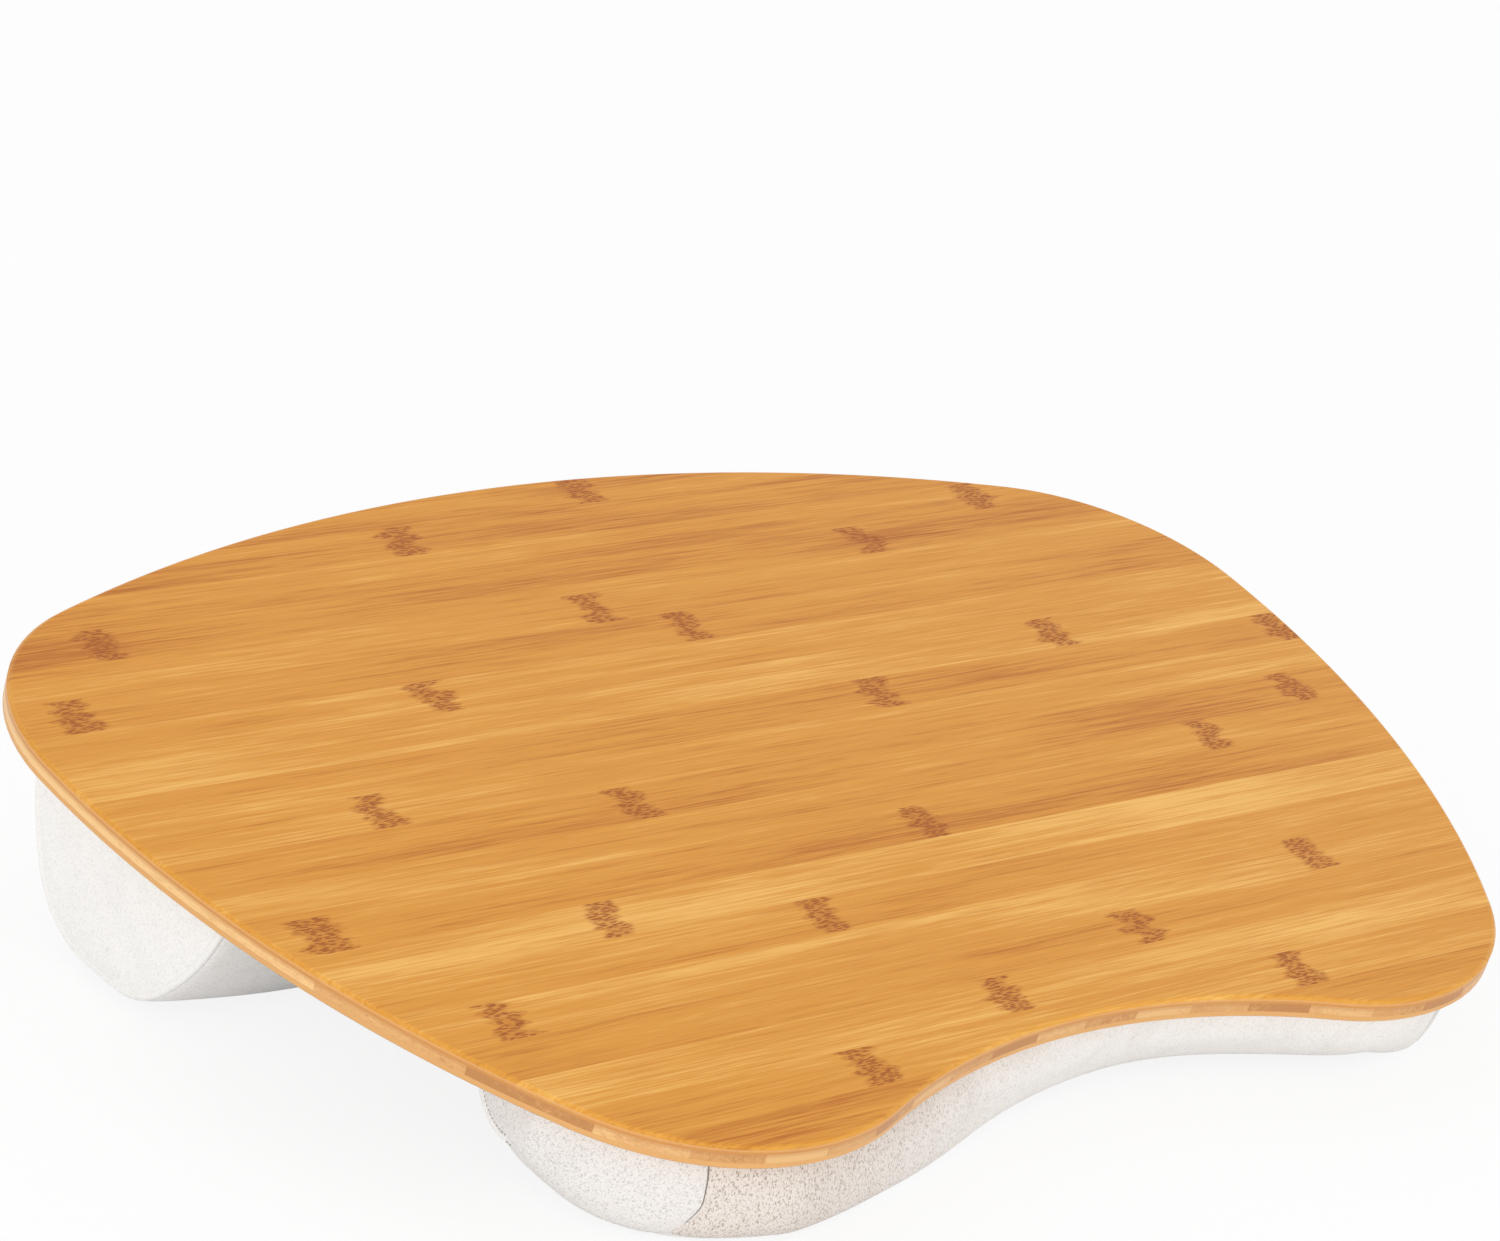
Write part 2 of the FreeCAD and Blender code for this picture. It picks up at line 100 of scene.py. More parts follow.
@dataclass(frozen=True)
class BoardPlane:
    """The slanted plane of the board's top face.

    Attributes:
        origin: middle of the front edge, on the plane, in the row frame.
        back: unit vector along the board from its front edge to its back edge.
        up: unit vector square to the top face.
    """

    origin: Vector
    back: Vector
    up: Vector

    @classmethod
    def of(cls, frame: dict[str, Any]) -> "BoardPlane":
        """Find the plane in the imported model.


        Returns:
            The plane.
        """
        mount = next(m for m in frame["record"]["mounts"] if m["name"] == "board_top")
        up = Vector(mount["axis"]).normalized()
        back = Vector((0.0, up.z, -up.y))
        front = min(back.dot(v.co) for v in frame["nodes"]["core_ply"].data.vertices)
        return cls(back * front + up * up.dot(Vector(mount["pos_m"])), back, up)

    @property
    def axes(self) -> np.ndarray:
        """Rows are the plane's x, y and z axes in the row frame."""
        return np.array([(1.0, 0.0, 0.0), tuple(self.back), tuple(self.up)])

    @property
    def tilt(self) -> float:
        """Angle between the board and the floor, in radians."""
        return math.asin(self.back.z)

    def to_row(self, local: np.ndarray) -> np.ndarray:
        """Points of the board's plane, moved to the row frame."""
        return np.asarray(local) @ self.axes + np.array(self.origin)

    def to_local(self, points: np.ndarray) -> np.ndarray:
        """Points of the row frame, moved to the board's plane."""
        return (np.asarray(points) - np.array(self.origin)) @ self.axes.T

    def node_points(self, node: Piece) -> np.ndarray:
        """Corner points of a CAD node in the board's plane."""
        return self.to_local(np.array([v.co[:] for v in node.data.vertices]))


class Graph:
    """Short hand for placing and linking nodes in one node tree."""

    def __init__(self, tree: bpy.types.NodeTree) -> None:
        """Keep the tree that the nodes go into."""
        self.tree = tree

    @classmethod
    def of(cls, owner: bpy.types.Material | bpy.types.World) -> "Graph":
        """The nodes of a material or of a world, emptied first."""
        owner.use_nodes = True
        owner.node_tree.nodes.clear()
        return cls(owner.node_tree)

    def put(self, socket: Socket, value: Any) -> None:
        """Link another socket to a socket, or set its value.

        Args:
            socket: input socket of a node.
            value: output socket of another node, or a plain value.
        """
        if isinstance(value, Socket):
            self.tree.links.new(value, socket)
        else:
            socket.default_value = value

    def node(self, kind: str, inputs: dict[Any, Any] | None = None, **settings: Any) -> bpy.types.Node:
        """Place a node.

        Args:
            kind: the node's type without its leading words.
            inputs: values or sockets by input name or number.
            settings: attributes of the node.

        Returns:
            The node.
        """
        made = self.tree.nodes.new("ShaderNode" + kind)
        for name, value in settings.items():
            setattr(made, name, value)
        for key, value in (inputs or {}).items():
            self.put(made.inputs[key], value)
        return made

    def math(self, operation: str, first: Any, second: Any = 0.0, clamp: bool = False) -> Socket:
        """Result of one of Blender's sums on two values, kept between 0 and 1 if clamp is set."""
        return self.node("Math", {0: first, 1: second}, operation=operation, use_clamp=clamp).outputs[0]

    def plus(self, first: Any, second: Any, clamp: bool = False) -> Socket:
        """Sum of two values."""
        return self.math("ADD", first, second, clamp)

    def times(self, first: Any, second: Any) -> Socket:
        """Product of two values."""
        return self.math("MULTIPLY", first, second)

    def smooth(self, value: Any, low: float, high: float, top: float = 1.0) -> Socket:
        """Soft step from 0 to a top value.

        Args:
            value: value that is stepped.
            low: where the step starts.
            high: where the step ends.
            top: value after the step.

        Returns:
            The output socket.
        """
        if low < high:
            inputs = {0: value, 1: low, 2: high, 3: 0.0, 4: top}
        else:
            inputs = {0: value, 1: high, 2: low, 3: top, 4: 0.0}
        return self.node("MapRange", inputs, interpolation_type="SMOOTHSTEP").outputs[0]

    def mix(self, share: Any, first: Any, second: Any) -> Socket:
        """Mix of two colours, with a share of the second one."""
        return self.node("Mix", {0: share, 6: first, 7: second}, data_type="RGBA").outputs[2]

    def dot(self, first: Any, second: Any) -> Socket:
        """Dot product of two vectors, without its sign."""
        value = self.node("VectorMath", {0: first, 1: second}, operation="DOT_PRODUCT").outputs["Value"]
        return self.math("ABSOLUTE", value)

    def scaled(self, vector: Any, scale: Sequence[float]) -> Socket:
        """A vector multiplied axis by axis."""
        return self.node("VectorMath", {0: vector, 1: tuple(scale)}, operation="MULTIPLY").outputs[0]

    def noise(self, vector: Any, scale: Triple | None = None, detail: float = 2.0, roughness: float = 0.5,
              distortion: float = 0.0) -> Socket:
        """Noise around one half.

        Args:
            vector: place.
            scale: scale along each axis of the place, if it has none yet.
            detail: how many finer layers are added.
            roughness: weight of the finer layers.
            distortion: how much the noise is twisted.

        Returns:
            The value socket.
        """
        inputs = {"Vector": self.scaled(vector, scale) if scale else vector, "Scale": 1.0,
                  "Detail": detail, "Roughness": roughness, "Distortion": distortion}
        return self.node("TexNoise", inputs).outputs[0]

    def around_zero(self, value: Any, weight: float) -> Socket:
        """A value around one half, moved to zero and weighted."""
        return self.times(self.math("SUBTRACT", value, 0.5), weight)


class GroupSocket(Enum):
    """Kinds of sockets on the shared node groups."""

    VALUE = "NodeSocketFloat"
    VECTOR = "NodeSocketVector"
    COLOUR = "NodeSocketColor"


class SharedGroup:
    """Base of the node groups that several finishes share."""

    name: str = ""
    inputs: dict[str, GroupSocket] = {}
    outputs = {"Color": GroupSocket.COLOUR, "Roughness": GroupSocket.VALUE, "Height": GroupSocket.VALUE}

    def tree(self) -> bpy.types.NodeTree:
        """The node group, made at its first use.

        Returns:
            The node tree.
        """
        made = bpy.data.node_groups.get(self.name)
        if made:
            return made
        made = bpy.data.node_groups.new(self.name, "ShaderNodeTree")
        for label, kind in self.inputs.items():
            made.interface.new_socket(name=label, in_out="INPUT", socket_type=kind.value)
        for label, kind in self.outputs.items():
            made.interface.new_socket(name=label, in_out="OUTPUT", socket_type=kind.value)
        graph = Graph(made)
        given = made.nodes.new("NodeGroupInput")
        result = made.nodes.new("NodeGroupOutput")
        for label, socket in self.fill(graph, given.outputs).items():
            graph.put(result.inputs[label], socket)
        return made

    def fill(self, graph: Graph, given: Any) -> dict[str, Socket]:
        """Place the group's nodes between its given inputs and the sockets that it returns."""
        raise NotImplementedError

    def place(self, graph: Graph, inputs: dict[str, Any]) -> bpy.types.Node:
        """Place the group in a material with its own values.

        Args:
            graph: the material's nodes.
            inputs: values or sockets by input name.

        Returns:
            The group node.
        """
        made = graph.tree.nodes.new("ShaderNodeGroup")
        made.node_tree = self.tree()
        for label, value in inputs.items():
            graph.put(made.inputs[label], value)
        return made


class BambooGrain(SharedGroup):
    """Fibres, tone and knuckles of a bamboo strip whose fibres run along the first axis of its place.

    A scale is to a metre, a weight is a share of the tone, and a run is where a soft step starts, where it
    ends and, if it is not 1, how high it is.
    """

    name = "bamboo_grain"
    inputs = {
        **dict.fromkeys(("Place", "Up", "Along"), GroupSocket.VECTOR),
        **dict.fromkeys(("Light", "Honey", "Dark", "Bristle", "Edge"), GroupSocket.COLOUR),
        **dict.fromkeys(("Seed", "Tone", "First knuckle", "Second knuckle", "Edge share", "Joint"),
                        GroupSocket.VALUE),
    }
    fine_scale: Triple = (22, 1000, 1000)
    streak_scale: Triple = (5, 260, 260)
    broad_scale: Triple = (6, 46, 46)
    hair_scale: Triple = (17, 1300, 1300)
    ragged_scale: Triple = (40, 260, 260)
    bristle_scale: Triple = (280, 1250, 1250)
    gap_scale: Triple = (160, 420, 420)
    fine_weight: float = 1.15
    streak_weight: float = 0.55
    broad_weight: float = 0.75
    tone_weight: float = 0.48
    hair_run: Triple = (0.6, 0.74, 0.35)
    knuckle_run: tuple[float, float] = (0.0088, 0.0036)
    knuckle_shade: float = 0.45
    knuckle_wave: float = 0.02
    bristle_run: tuple[float, float] = (0.54, 0.26)
    bristle_shade: float = 0.85
    gap_run: tuple[float, float] = (0.24, 0.42)
    rim_highlight_run: Triple = (0.98, 0.85, 0.25)
    end_grain_run: Triple = (0.3, 0.9, 0.25)
    joint_run: Triple = (0.0016, 0.0005, 0.4)

    def knuckle(self, graph: Graph, along: Any, knuckle: Any, ragged: Any) -> Socket:
        """Mask of the band across the strip at one knuckle, with ragged sides."""
        away = graph.plus(graph.math("SUBTRACT", along, knuckle), ragged)
        return graph.smooth(graph.math("ABSOLUTE", away), *self.knuckle_run)

    def edged(self, graph: Graph, given: Any, colour: Socket, height: Socket) -> Socket:
        """Colour the rounded rim paler, partly as its paler sanded wood and partly as a painted highlight,
        and colour the end grain, the cut edge and the glued joint that shows in it.

        Args:
            graph: where the nodes go.
            given: the group's input sockets by name.
            colour: colour of the flat face.
            height: height above the board's top face.

        Returns:
            The colour.
        """
        normal = graph.node("NewGeometry").outputs["Normal"]
        level = graph.dot(normal, given["Up"])
        # The rounded rim is mixed towards the light colour: partly the paler sanded wood of the edge, partly
        # a painted highlight where the rim catches the light.
        rim = graph.times(graph.smooth(level, *self.rim_highlight_run), graph.smooth(level, 0.2, 0.5))
        colour = graph.mix(rim, colour, given["Light"])
        end_grain = graph.smooth(graph.dot(normal, given["Along"]), *self.end_grain_run)
        colour = graph.mix(end_grain, colour, given["Dark"])
        side = graph.times(graph.smooth(level, 0.6, 0.2), given["Edge share"])
        colour = graph.mix(side, colour, given["Edge"])
        joint = graph.math("ABSOLUTE", graph.math("SUBTRACT", height, given["Joint"]))
        joint = graph.times(graph.smooth(joint, *self.joint_run), graph.smooth(level, 0.5, 0.2))
        return graph.mix(joint, colour, given["Dark"])

    def fill(self, graph: Graph, given: Any) -> dict[str, Socket]:
        """Place the group's nodes.

        Args:
            graph: where the nodes go.
            given: the group's input sockets by name.

        Returns:
            The sockets that go to the group's outputs.
        """
        shift = graph.node("CombineXYZ", {0: graph.times(given["Seed"], 1.37),
                                          2: graph.times(given["Seed"], 0.53)}).outputs[0]
        place = graph.node("VectorMath", {0: given["Place"], 1: shift}, operation="ADD").outputs[0]
        fine = graph.noise(place, self.fine_scale, 3.0, 0.72)
        streak = graph.noise(place, self.streak_scale)
        broad = graph.noise(place, self.broad_scale, 1.0)
        hair = graph.noise(place, self.hair_scale, 1.0)
        tone = graph.plus(graph.around_zero(fine, self.fine_weight),
                          graph.around_zero(streak, self.streak_weight))
        tone = graph.plus(tone, graph.around_zero(broad, self.broad_weight))
        tone = graph.plus(tone, graph.times(given["Tone"], self.tone_weight))
        tone = graph.plus(tone, 0.5, clamp=True)
        colour = graph.mix(graph.smooth(tone, 0.0, 0.5), given["Dark"], given["Honey"])
        colour = graph.mix(graph.smooth(tone, 0.5, 1.0), colour, given["Light"])
        colour = graph.mix(graph.smooth(hair, *self.hair_run), colour, given["Dark"])
        axes = graph.node("SeparateXYZ", {0: given["Place"]}).outputs
        ragged = graph.around_zero(graph.noise(place, self.ragged_scale, 1.0), self.knuckle_wave)
        band = graph.math("MAXIMUM", self.knuckle(graph, axes[0], given["First knuckle"], ragged),
                          self.knuckle(graph, axes[0], given["Second knuckle"], ragged))
        cells = {"Vector": graph.scaled(place, self.bristle_scale), "Scale": 1.0}
        grains = graph.node("TexVoronoi", cells, voronoi_dimensions="2D", feature="F1").outputs["Distance"]
        gaps = graph.noise(place, self.gap_scale, 1.0)
        mark = graph.times(graph.smooth(grains, *self.bristle_run), graph.smooth(gaps, *self.gap_run))
        mark = graph.times(mark, band)
        colour = graph.mix(graph.times(band, self.knuckle_shade), colour, given["Dark"])
        colour = graph.mix(graph.times(mark, self.bristle_shade), colour, given["Bristle"])
        colour = self.edged(graph, given, colour, axes[2])
        rough = graph.math("SUBTRACT", 0.4, graph.around_zero(fine, 0.16))
        rough = graph.plus(rough, graph.times(mark, 0.1))
        height = graph.plus(graph.times(fine, 0.7), graph.times(streak, 0.3))
        height = graph.math("SUBTRACT", height, graph.times(mark, 0.4))
        return {"Color": colour, "Roughness": rough, "Height": height}


class ClothNap(SharedGroup):
    """Short pebbled nap of the cushion's cloth, with painted shade in the pits between its pebbles."""

    name = "cloth_nap"
    inputs = {"Place": GroupSocket.VECTOR, "Cloth": GroupSocket.COLOUR, "Pit shade and mottle": GroupSocket.COLOUR,
              "Speckle": GroupSocket.VALUE}
    nap_scale: Triple = (3.1, 3.1, 3.1)
    mottle_scale: Triple = (0.045, 0.045, 0.045)
    pit_shade_run: tuple[float, float] = (0.49, 0.36)
    mottle_run: Triple = (0.45, 0.8, 0.08)

    def fill(self, graph: Graph, given: Any) -> dict[str, Socket]:
        """Place the group's nodes.

        Args:
            graph: where the nodes go.
            given: the group's input sockets by name.

        Returns:
            The sockets that go to the group's outputs.
        """
        worms = graph.noise(given["Place"], roughness=0.45, distortion=0.9)
        nap = graph.noise(given["Place"], self.nap_scale)
        mottle = graph.noise(given["Place"], self.mottle_scale)
        # The pits between the pebbles are painted darker, as painted shade in the nap's hollows; the faint
        # mottle added to them is the cloth's own tone.
        pit_shade_and_mottle = graph.times(graph.smooth(worms, *self.pit_shade_run), given["Speckle"])
        pit_shade_and_mottle = graph.plus(pit_shade_and_mottle, graph.smooth(mottle, *self.mottle_run), clamp=True)
        colour = graph.mix(pit_shade_and_mottle, given["Cloth"], given["Pit shade and mottle"])
        rough = graph.plus(0.86, graph.around_zero(nap, 0.2))
        height = graph.plus(graph.times(worms, 0.8), graph.times(nap, 0.2))
        return {"Color": colour, "Roughness": rough, "Height": height}


def new_material(name: str) -> tuple[bpy.types.Material, Graph, bpy.types.Node]:
    """Start a material with its shader.

    Args:
        name: name of the material.

    Returns:
        The material, its nodes and its shader.
    """
    made = bpy.data.materials.new(name)
    graph = Graph.of(made)
    shader = graph.node("BsdfPrincipled")
    graph.node("OutputMaterial", {"Surface": shader.outputs[0]})
    return made, graph, shader


def dress(graph: Graph, shader: bpy.types.Node, surface: bpy.types.Node, strength: float,
          depth: float) -> None:
    """Lead a shared group's outputs to the shader.

    Args:
        graph: the material's nodes.
        shader: the material's shader.
        surface: the group node.
        strength: strength of the bump.
        depth: height of the bump, in metres.
    """
    height = surface.outputs["Height"]
    bump = graph.node("Bump", {"Strength": strength, "Distance": depth, "Height": height})
    graph.put(shader.inputs["Base Color"], surface.outputs["Color"])
    graph.put(shader.inputs["Roughness"], surface.outputs["Roughness"])
    graph.put(shader.inputs["Normal"], bump.outputs[0])


@dataclass(frozen=True)
class BambooFinish:
    """Lacquered bamboo of one set of strips.

    Attributes:
        light: colour of the palest fibres, also painted on the rounded rim as a painted highlight.
        honey: main colour.
        dark: colour of the darkest fibres.
        bristle: colour of the bristly marks at the knuckles.
        edge: colour of the cut edge of the board.
        edge_share: how much of that colour the edge takes.
        crosswise: the fibres run from front to back.
        pitch: width of one strip where the fibres do.
        lacquer: how strong the clear coat is.
        lacquer_blur: roughness of the clear coat.
        gloss: how strongly the bamboo itself reflects.
        bump: strength of the fibres' relief.
        relief: height of that relief, in metres.
        joint: height of the glued joint that shows as a line in the edge.
    """

    light: Colour = shade(243, 187, 96)
    honey: Colour = shade(220, 149, 50)
    dark: Colour = shade(182, 100, 10)
    bristle: Colour = shade(156, 76, 0)
    edge: Colour = shade(228, 175, 114)
    edge_share: float = 0.75
    crosswise: bool = False
    pitch: float = 0.575 / 24
    lacquer: float = 0.08
    lacquer_blur: float = 0.3
    gloss: float = 0.2
    bump: float = 0.35
    relief: float = 0.0002
    joint: float = -0.003

    def material(self, name: str, plane: BoardPlane, seed: float, tone: float,
                 knuckles: Sequence[float] = ()) -> bpy.types.Material:
        """Make the material of one strip or ply.

        Args:
            name: name of the material.
            plane: the board's plane.
            seed: number that sets the strip's own fibres.
            tone: from -1, dark, to 1, light.
            knuckles: up to two places of knuckles along the fibres.

        Returns:
            The material.
        """
        made, graph, shader = new_material(name)
        spot = graph.node("TexCoord").outputs["Object"]
        turn = Matrix.Rotation(-plane.tilt, 3, "X")
        mapped = graph.node("Mapping", {"Vector": spot, "Location": tuple(-(turn @ plane.origin)),
                                        "Rotation": (-plane.tilt, 0.0, 0.0)})
        place: Any = mapped.outputs[0]
        level: Any = tone
        fibres = Vector((1.0, 0.0, 0.0))
        if self.crosswise:
            axes = graph.node("SeparateXYZ", {0: place}).outputs
            block = graph.math("FLOOR", graph.math("DIVIDE", axes[0], self.pitch))
            chance = graph.math("FRACT", graph.plus(graph.times(block, 0.618), 0.3))
            level = graph.plus(graph.around_zero(chance, 2.4), tone)
            place = graph.node("CombineXYZ", {0: axes[1], 1: axes[0], 2: axes[2]}).outputs[0]
            fibres = plane.back
        marks = [*knuckles, FAR_OFF, FAR_OFF]
        surface = BambooGrain().place(graph, {
            "Place": place, "Up": tuple(plane.up), "Along": tuple(fibres), "Seed": seed, "Tone": level,
            "First knuckle": marks[0], "Second knuckle": marks[1], "Light": self.light, "Honey": self.honey,
            "Dark": self.dark, "Bristle": self.bristle, "Edge": self.edge, "Edge share": self.edge_share,
            "Joint": self.joint})
        dress(graph, shader, surface, self.bump, self.relief)
        shader.inputs["Coat Weight"].default_value = self.lacquer
        shader.inputs["Coat Roughness"].default_value = self.lacquer_blur
        shader.inputs["Specular IOR Level"].default_value = self.gloss
        return made


@dataclass(frozen=True)
class ClothFinish:
    """One cloth of the cushion.

    Attributes:
        name: name of the material.
        cloth: colour of the nap.
        pit_shade_and_mottle: colour painted between the pebbles of the nap as painted shade in its hollows,
            and of its faint mottle.
        pebbles: pebbles to a metre along x, y and z.
        speckle: how strongly the painted shade in the pits shows.
        relief: height of the nap, in metres.
        painted_shade: colour of painted shade on the nap, darker and warmer, if it has any.
        painted_shade_run: where along x the painted shade starts, and where it is full.
        painted_shade_speckle_share: share of the speckle that comes with the painted shade.
        bump: strength of the nap's relief.
        sheen: strength of the soft sheen.
        sheen_blur: roughness of the sheen.
        gloss: how strongly the cloth reflects.
    """

    name: str
    cloth: Colour
    pit_shade_and_mottle: Colour
    pebbles: Triple
    speckle: float
    relief: float
    painted_shade: Colour | None = None
    painted_shade_run: tuple[float, float] = (0.02, -0.14)
    painted_shade_speckle_share: float = 0.76
    bump: float = 0.6
    sheen: float = 0.2
    sheen_blur: float = 0.6
    gloss: float = 0.2

    def material(self) -> bpy.types.Material:
        """The cloth's material, made at its first use.

        Returns:
            The material.
        """
        made = bpy.data.materials.get(self.name)
        if made:
            return made
        made, graph, shader = new_material(self.name)
        spot = graph.node("TexCoord").outputs["Object"]
        cloth: Any = self.cloth
        speckle: Any = self.speckle
        # The nap is painted darker and warmer towards the left, with stronger pit shade, as painted shade
        # where the wall faces away from the key lamp.
        if self.painted_shade:
            along = graph.node("SeparateXYZ", {0: spot}).outputs[0]
            share = graph.smooth(along, *self.painted_shade_run)
            cloth = graph.mix(share, self.cloth, self.painted_shade)
            kept = graph.plus(graph.times(share, self.painted_shade_speckle_share), 1.0 - self.painted_shade_speckle_share)
            speckle = graph.times(kept, speckle)
        surface = ClothNap().place(graph, {"Place": graph.scaled(spot, self.pebbles), "Cloth": cloth,
                                           "Pit shade and mottle": self.pit_shade_and_mottle, "Speckle": speckle})
        dress(graph, shader, surface, self.bump, self.relief)
        shader.inputs["Sheen Weight"].default_value = self.sheen
        shader.inputs["Sheen Roughness"].default_value = self.sheen_blur
        shader.inputs["Specular IOR Level"].default_value = self.gloss
        return made


# The second colour of each finish is painted in the pits of its nap as painted shade, and in its faint
# mottle.
COVER = ClothFinish("cover_nap", shade(243, 241, 239), shade(190, 186, 183), (1400, 1400, 1400), 0.35,
                    0.0003)
PANEL = ClothFinish("panel_nap", shade(238, 235, 232), shade(178, 173, 170), (1450, 1450, 1450), 0.55,
                    0.00035)
# The rear end panels' cloth is PANEL's cloth painted paler, as painted light where these panels face the key
# lamp, with a softer nap.
SOFT_LIT_PANEL = ClothFinish("soft_lit_panel_nap", shade(248, 247, 245), shade(202, 198, 195), (1150, 1150, 1150),
                         0.28, 0.0005)
# The wall's nap is painted darker and warmer towards its left end, as painted shade.
WALL = ClothFinish("wall_nap", shade(246, 244, 241), shade(168, 155, 143), (1650, 1650, 900), 0.85, 0.0004,
                   painted_shade=shade(234, 226, 219))
LINING = ClothFinish("lining_nap", shade(226, 223, 218), shade(166, 162, 156), (700, 700, 700), 0.5, 0.0005)
CORD = ClothFinish("seam_cord", shade(247, 246, 244), shade(205, 201, 198), (1300, 1300, 1300), 0.2, 0.0002)
# Dark thread; on the corner seams its tube also stands for the painted shade in the seam's crease.
THREAD_AND_CREASE_SHADE = ClothFinish("seam_thread_and_crease_shade", shade(142, 134, 126), shade(84, 78, 72), (2600, 2600, 2600), 0.6, 0.0002)
GLUE = ClothFinish("dried_glue", shade(222, 205, 172), shade(190, 170, 134), (300, 300, 300), 0.4, 0.0001)


def new_piece(name: str, points: np.ndarray, faces: Sequence[Sequence[int]]) -> Piece:
    """Make a mesh piece with its faces turned outwards.

    Args:
        name: name of the piece.
        points: corner points in the row frame.
        faces: corner numbers of each face.

    Returns:
        The piece.
    """
    mesh = bpy.data.meshes.new(name)
    mesh.from_pydata([tuple(p) for p in points], [], [tuple(f) for f in faces])
    work = bmesh.new()
    work.from_mesh(mesh)
    bmesh.ops.recalc_face_normals(work, faces=work.faces[:])
    work.to_mesh(mesh)
    work.free()
    mesh.shade_smooth()
    piece = bpy.data.objects.new(name, mesh)
    bpy.context.scene.collection.objects.link(piece)
    return piece


def apply_modifiers(piece: Piece) -> None:
    """Keep what a piece's modifiers make as its own mesh.

    Args:
        piece: the piece.
    """
    seen = piece.evaluated_get(bpy.context.evaluated_depsgraph_get())
    mesh = bpy.data.meshes.new_from_object(seen)
    piece.modifiers.clear()
    piece.data = mesh


def mesh_points(mesh: bpy.types.Mesh) -> np.ndarray:
    """Read the corner points of a mesh.

    Args:
        mesh: the mesh.

    Returns:
        One row for each point.
    """
    flat = np.empty(len(mesh.vertices) * 3)
    mesh.vertices.foreach_get("co", flat)
    return flat.reshape(-1, 3)


def unit(vectors: np.ndarray) -> np.ndarray:
    """Vectors of length one in the same directions."""
    return vectors / np.linalg.norm(vectors, axis=1)[:, None]


def band(first: int, second: int, count: int) -> list[Face]:
    """Faces between two closed rings, from the number of each ring's first point."""
    pairs = [(s, (s + 1) % count) for s in range(count)]
    return [(first + s, first + after, second + after, second + s) for s, after in pairs]


def cap(ring: int, middle: int, count: int) -> list[Face]:
    """Faces from a closed ring, by the number of its first point, to a point in its middle."""
    return [(ring + s, ring + (s + 1) % count, middle) for s in range(count)]


def joined(parts: Iterable[tuple[np.ndarray, Sequence[Sequence[int]]]]) -> tuple[np.ndarray, list[Face]]:
    """Put the points and faces of several meshes together.

    Args:
        parts: points and faces of each mesh.

    Returns:
        All points, and all faces with their corners numbered anew.
    """
    points: list[np.ndarray] = []
    faces: list[Face] = []
    for spots, sides in parts:
        start = sum(len(p) for p in points)
        points.append(spots)
        faces += [tuple(start + v for v in side) for side in sides]
    return np.vstack(points), faces


def share_of(distance: np.ndarray, length: float) -> np.ndarray:
    """Distances as shares of a length, kept between 0 and 1."""
    return np.clip(distance / length, 0.0, 1.0)


def resample(line: np.ndarray, steps: int) -> np.ndarray:
    """Spread points evenly along a line.

    Args:
        line: points of the line.
        steps: number of equal steps.

    Returns:
        One point more than the number of steps.
    """
    run = np.concatenate([[0.0], np.cumsum(np.linalg.norm(np.diff(line, axis=0), axis=1))])
    marks = np.linspace(0.0, run[-1], steps + 1)
    return np.column_stack([np.interp(marks, run, line[:, k]) for k in range(3)])


def tube(path: np.ndarray, radius: float, taper: float, sides: int = 8) -> tuple[np.ndarray, list[Face]]:
    """A closed tube with rounded ends along a path.

    Args:
        path: points of the path.
        radius: radius of the tube at its start.
        taper: share of the radius that is left at its end.
        sides: corners of its section.

    Returns:
        Corner points and faces.
    """
    steps = len(path)
    heading = unit(np.gradient(path, axis=0))
    guide = np.array((0.31, 0.22, 0.93))
    side = unit(np.cross(heading, guide))
    rise = np.cross(side, heading)
    turns = np.linspace(0.0, 2 * math.pi, sides, endpoint=False)
    thin = np.linspace(1.0, taper, steps)
    thin[[0, -1]] *= 0.55
    points = [path[k] + radius * thin[k] * (math.cos(t) * side[k] + math.sin(t) * rise[k])
              for k in range(steps) for t in turns]
    faces = [face for k in range(steps - 1) for face in band(k * sides, (k + 1) * sides, sides)]
    faces.append(tuple(range(sides)))
    faces.append(tuple(range((steps - 1) * sides, steps * sides)))
    return np.array(points), faces


@dataclass
class Board:
    """The bamboo board: CAD strips and plies that keep their shape and get their finish here.

    Attributes:
        plane: the board's plane.
        strip_tones: tone of each top strip from the front edge to the back edge.
        knuckles: places of knuckles along each of these strips.
    """

    plane: BoardPlane
    strip_tones: tuple[float, ...] = (-0.15, 0.1, 0.35, 0.0, 0.25, 0.05, 0.4, -0.15, 0.05, -0.15,
                                      0.15, -0.05, 0.35, 0.1, -0.25, 0.05, -0.3, 0.0, -0.3, -0.15)
    knuckles: tuple[tuple[float, ...], ...] = (
        (0.231,), (0.103, -0.1035), (-0.024,), (0.058,), (0.166, -0.215), (-0.061,), (-0.142,),
        (-0.25, 0.019), (0.184,), (0.25, -0.088), (-0.187,), (0.061, 0.279), (0.168,), (-0.121,),
        (-0.263, 0.012), (-0.02,), (-0.228, 0.134), (0.21,), (-0.07,), (0.03,))

    def finish(self, nodes: Nodes) -> None:
        """Give each strip its own fibres, tone and knuckles, and the plies and the glue their finishes.

        Args:
            nodes: CAD nodes by name.
        """
        face = BambooFinish()
        core = BambooFinish(shade(242, 197, 136), shade(224, 171, 110), shade(192, 135, 82), edge_share=0.0,
                            crosswise=True, lacquer=0.05)
        back = BambooFinish(shade(228, 174, 98), shade(211, 150, 76), shade(184, 122, 58), joint=FAR_OFF)
        made = {}
        for number, (tone, marks) in enumerate(zip(self.strip_tones, self.knuckles), start=1):
            name = f"top_strip_{number:02d}"
            made[name] = face.material(name, self.plane, float(number), tone, marks)
        made["core_ply"] = core.material("core_ply", self.plane, 41.0, 0.0)
        made["back_ply"] = back.material("back_ply", self.plane, 57.0, 0.1)
        made["glue_film"] = GLUE.material()
        for name, material in made.items():
            nodes[name].material_slots[0].material = material
            LOG.info("finished %s", name)


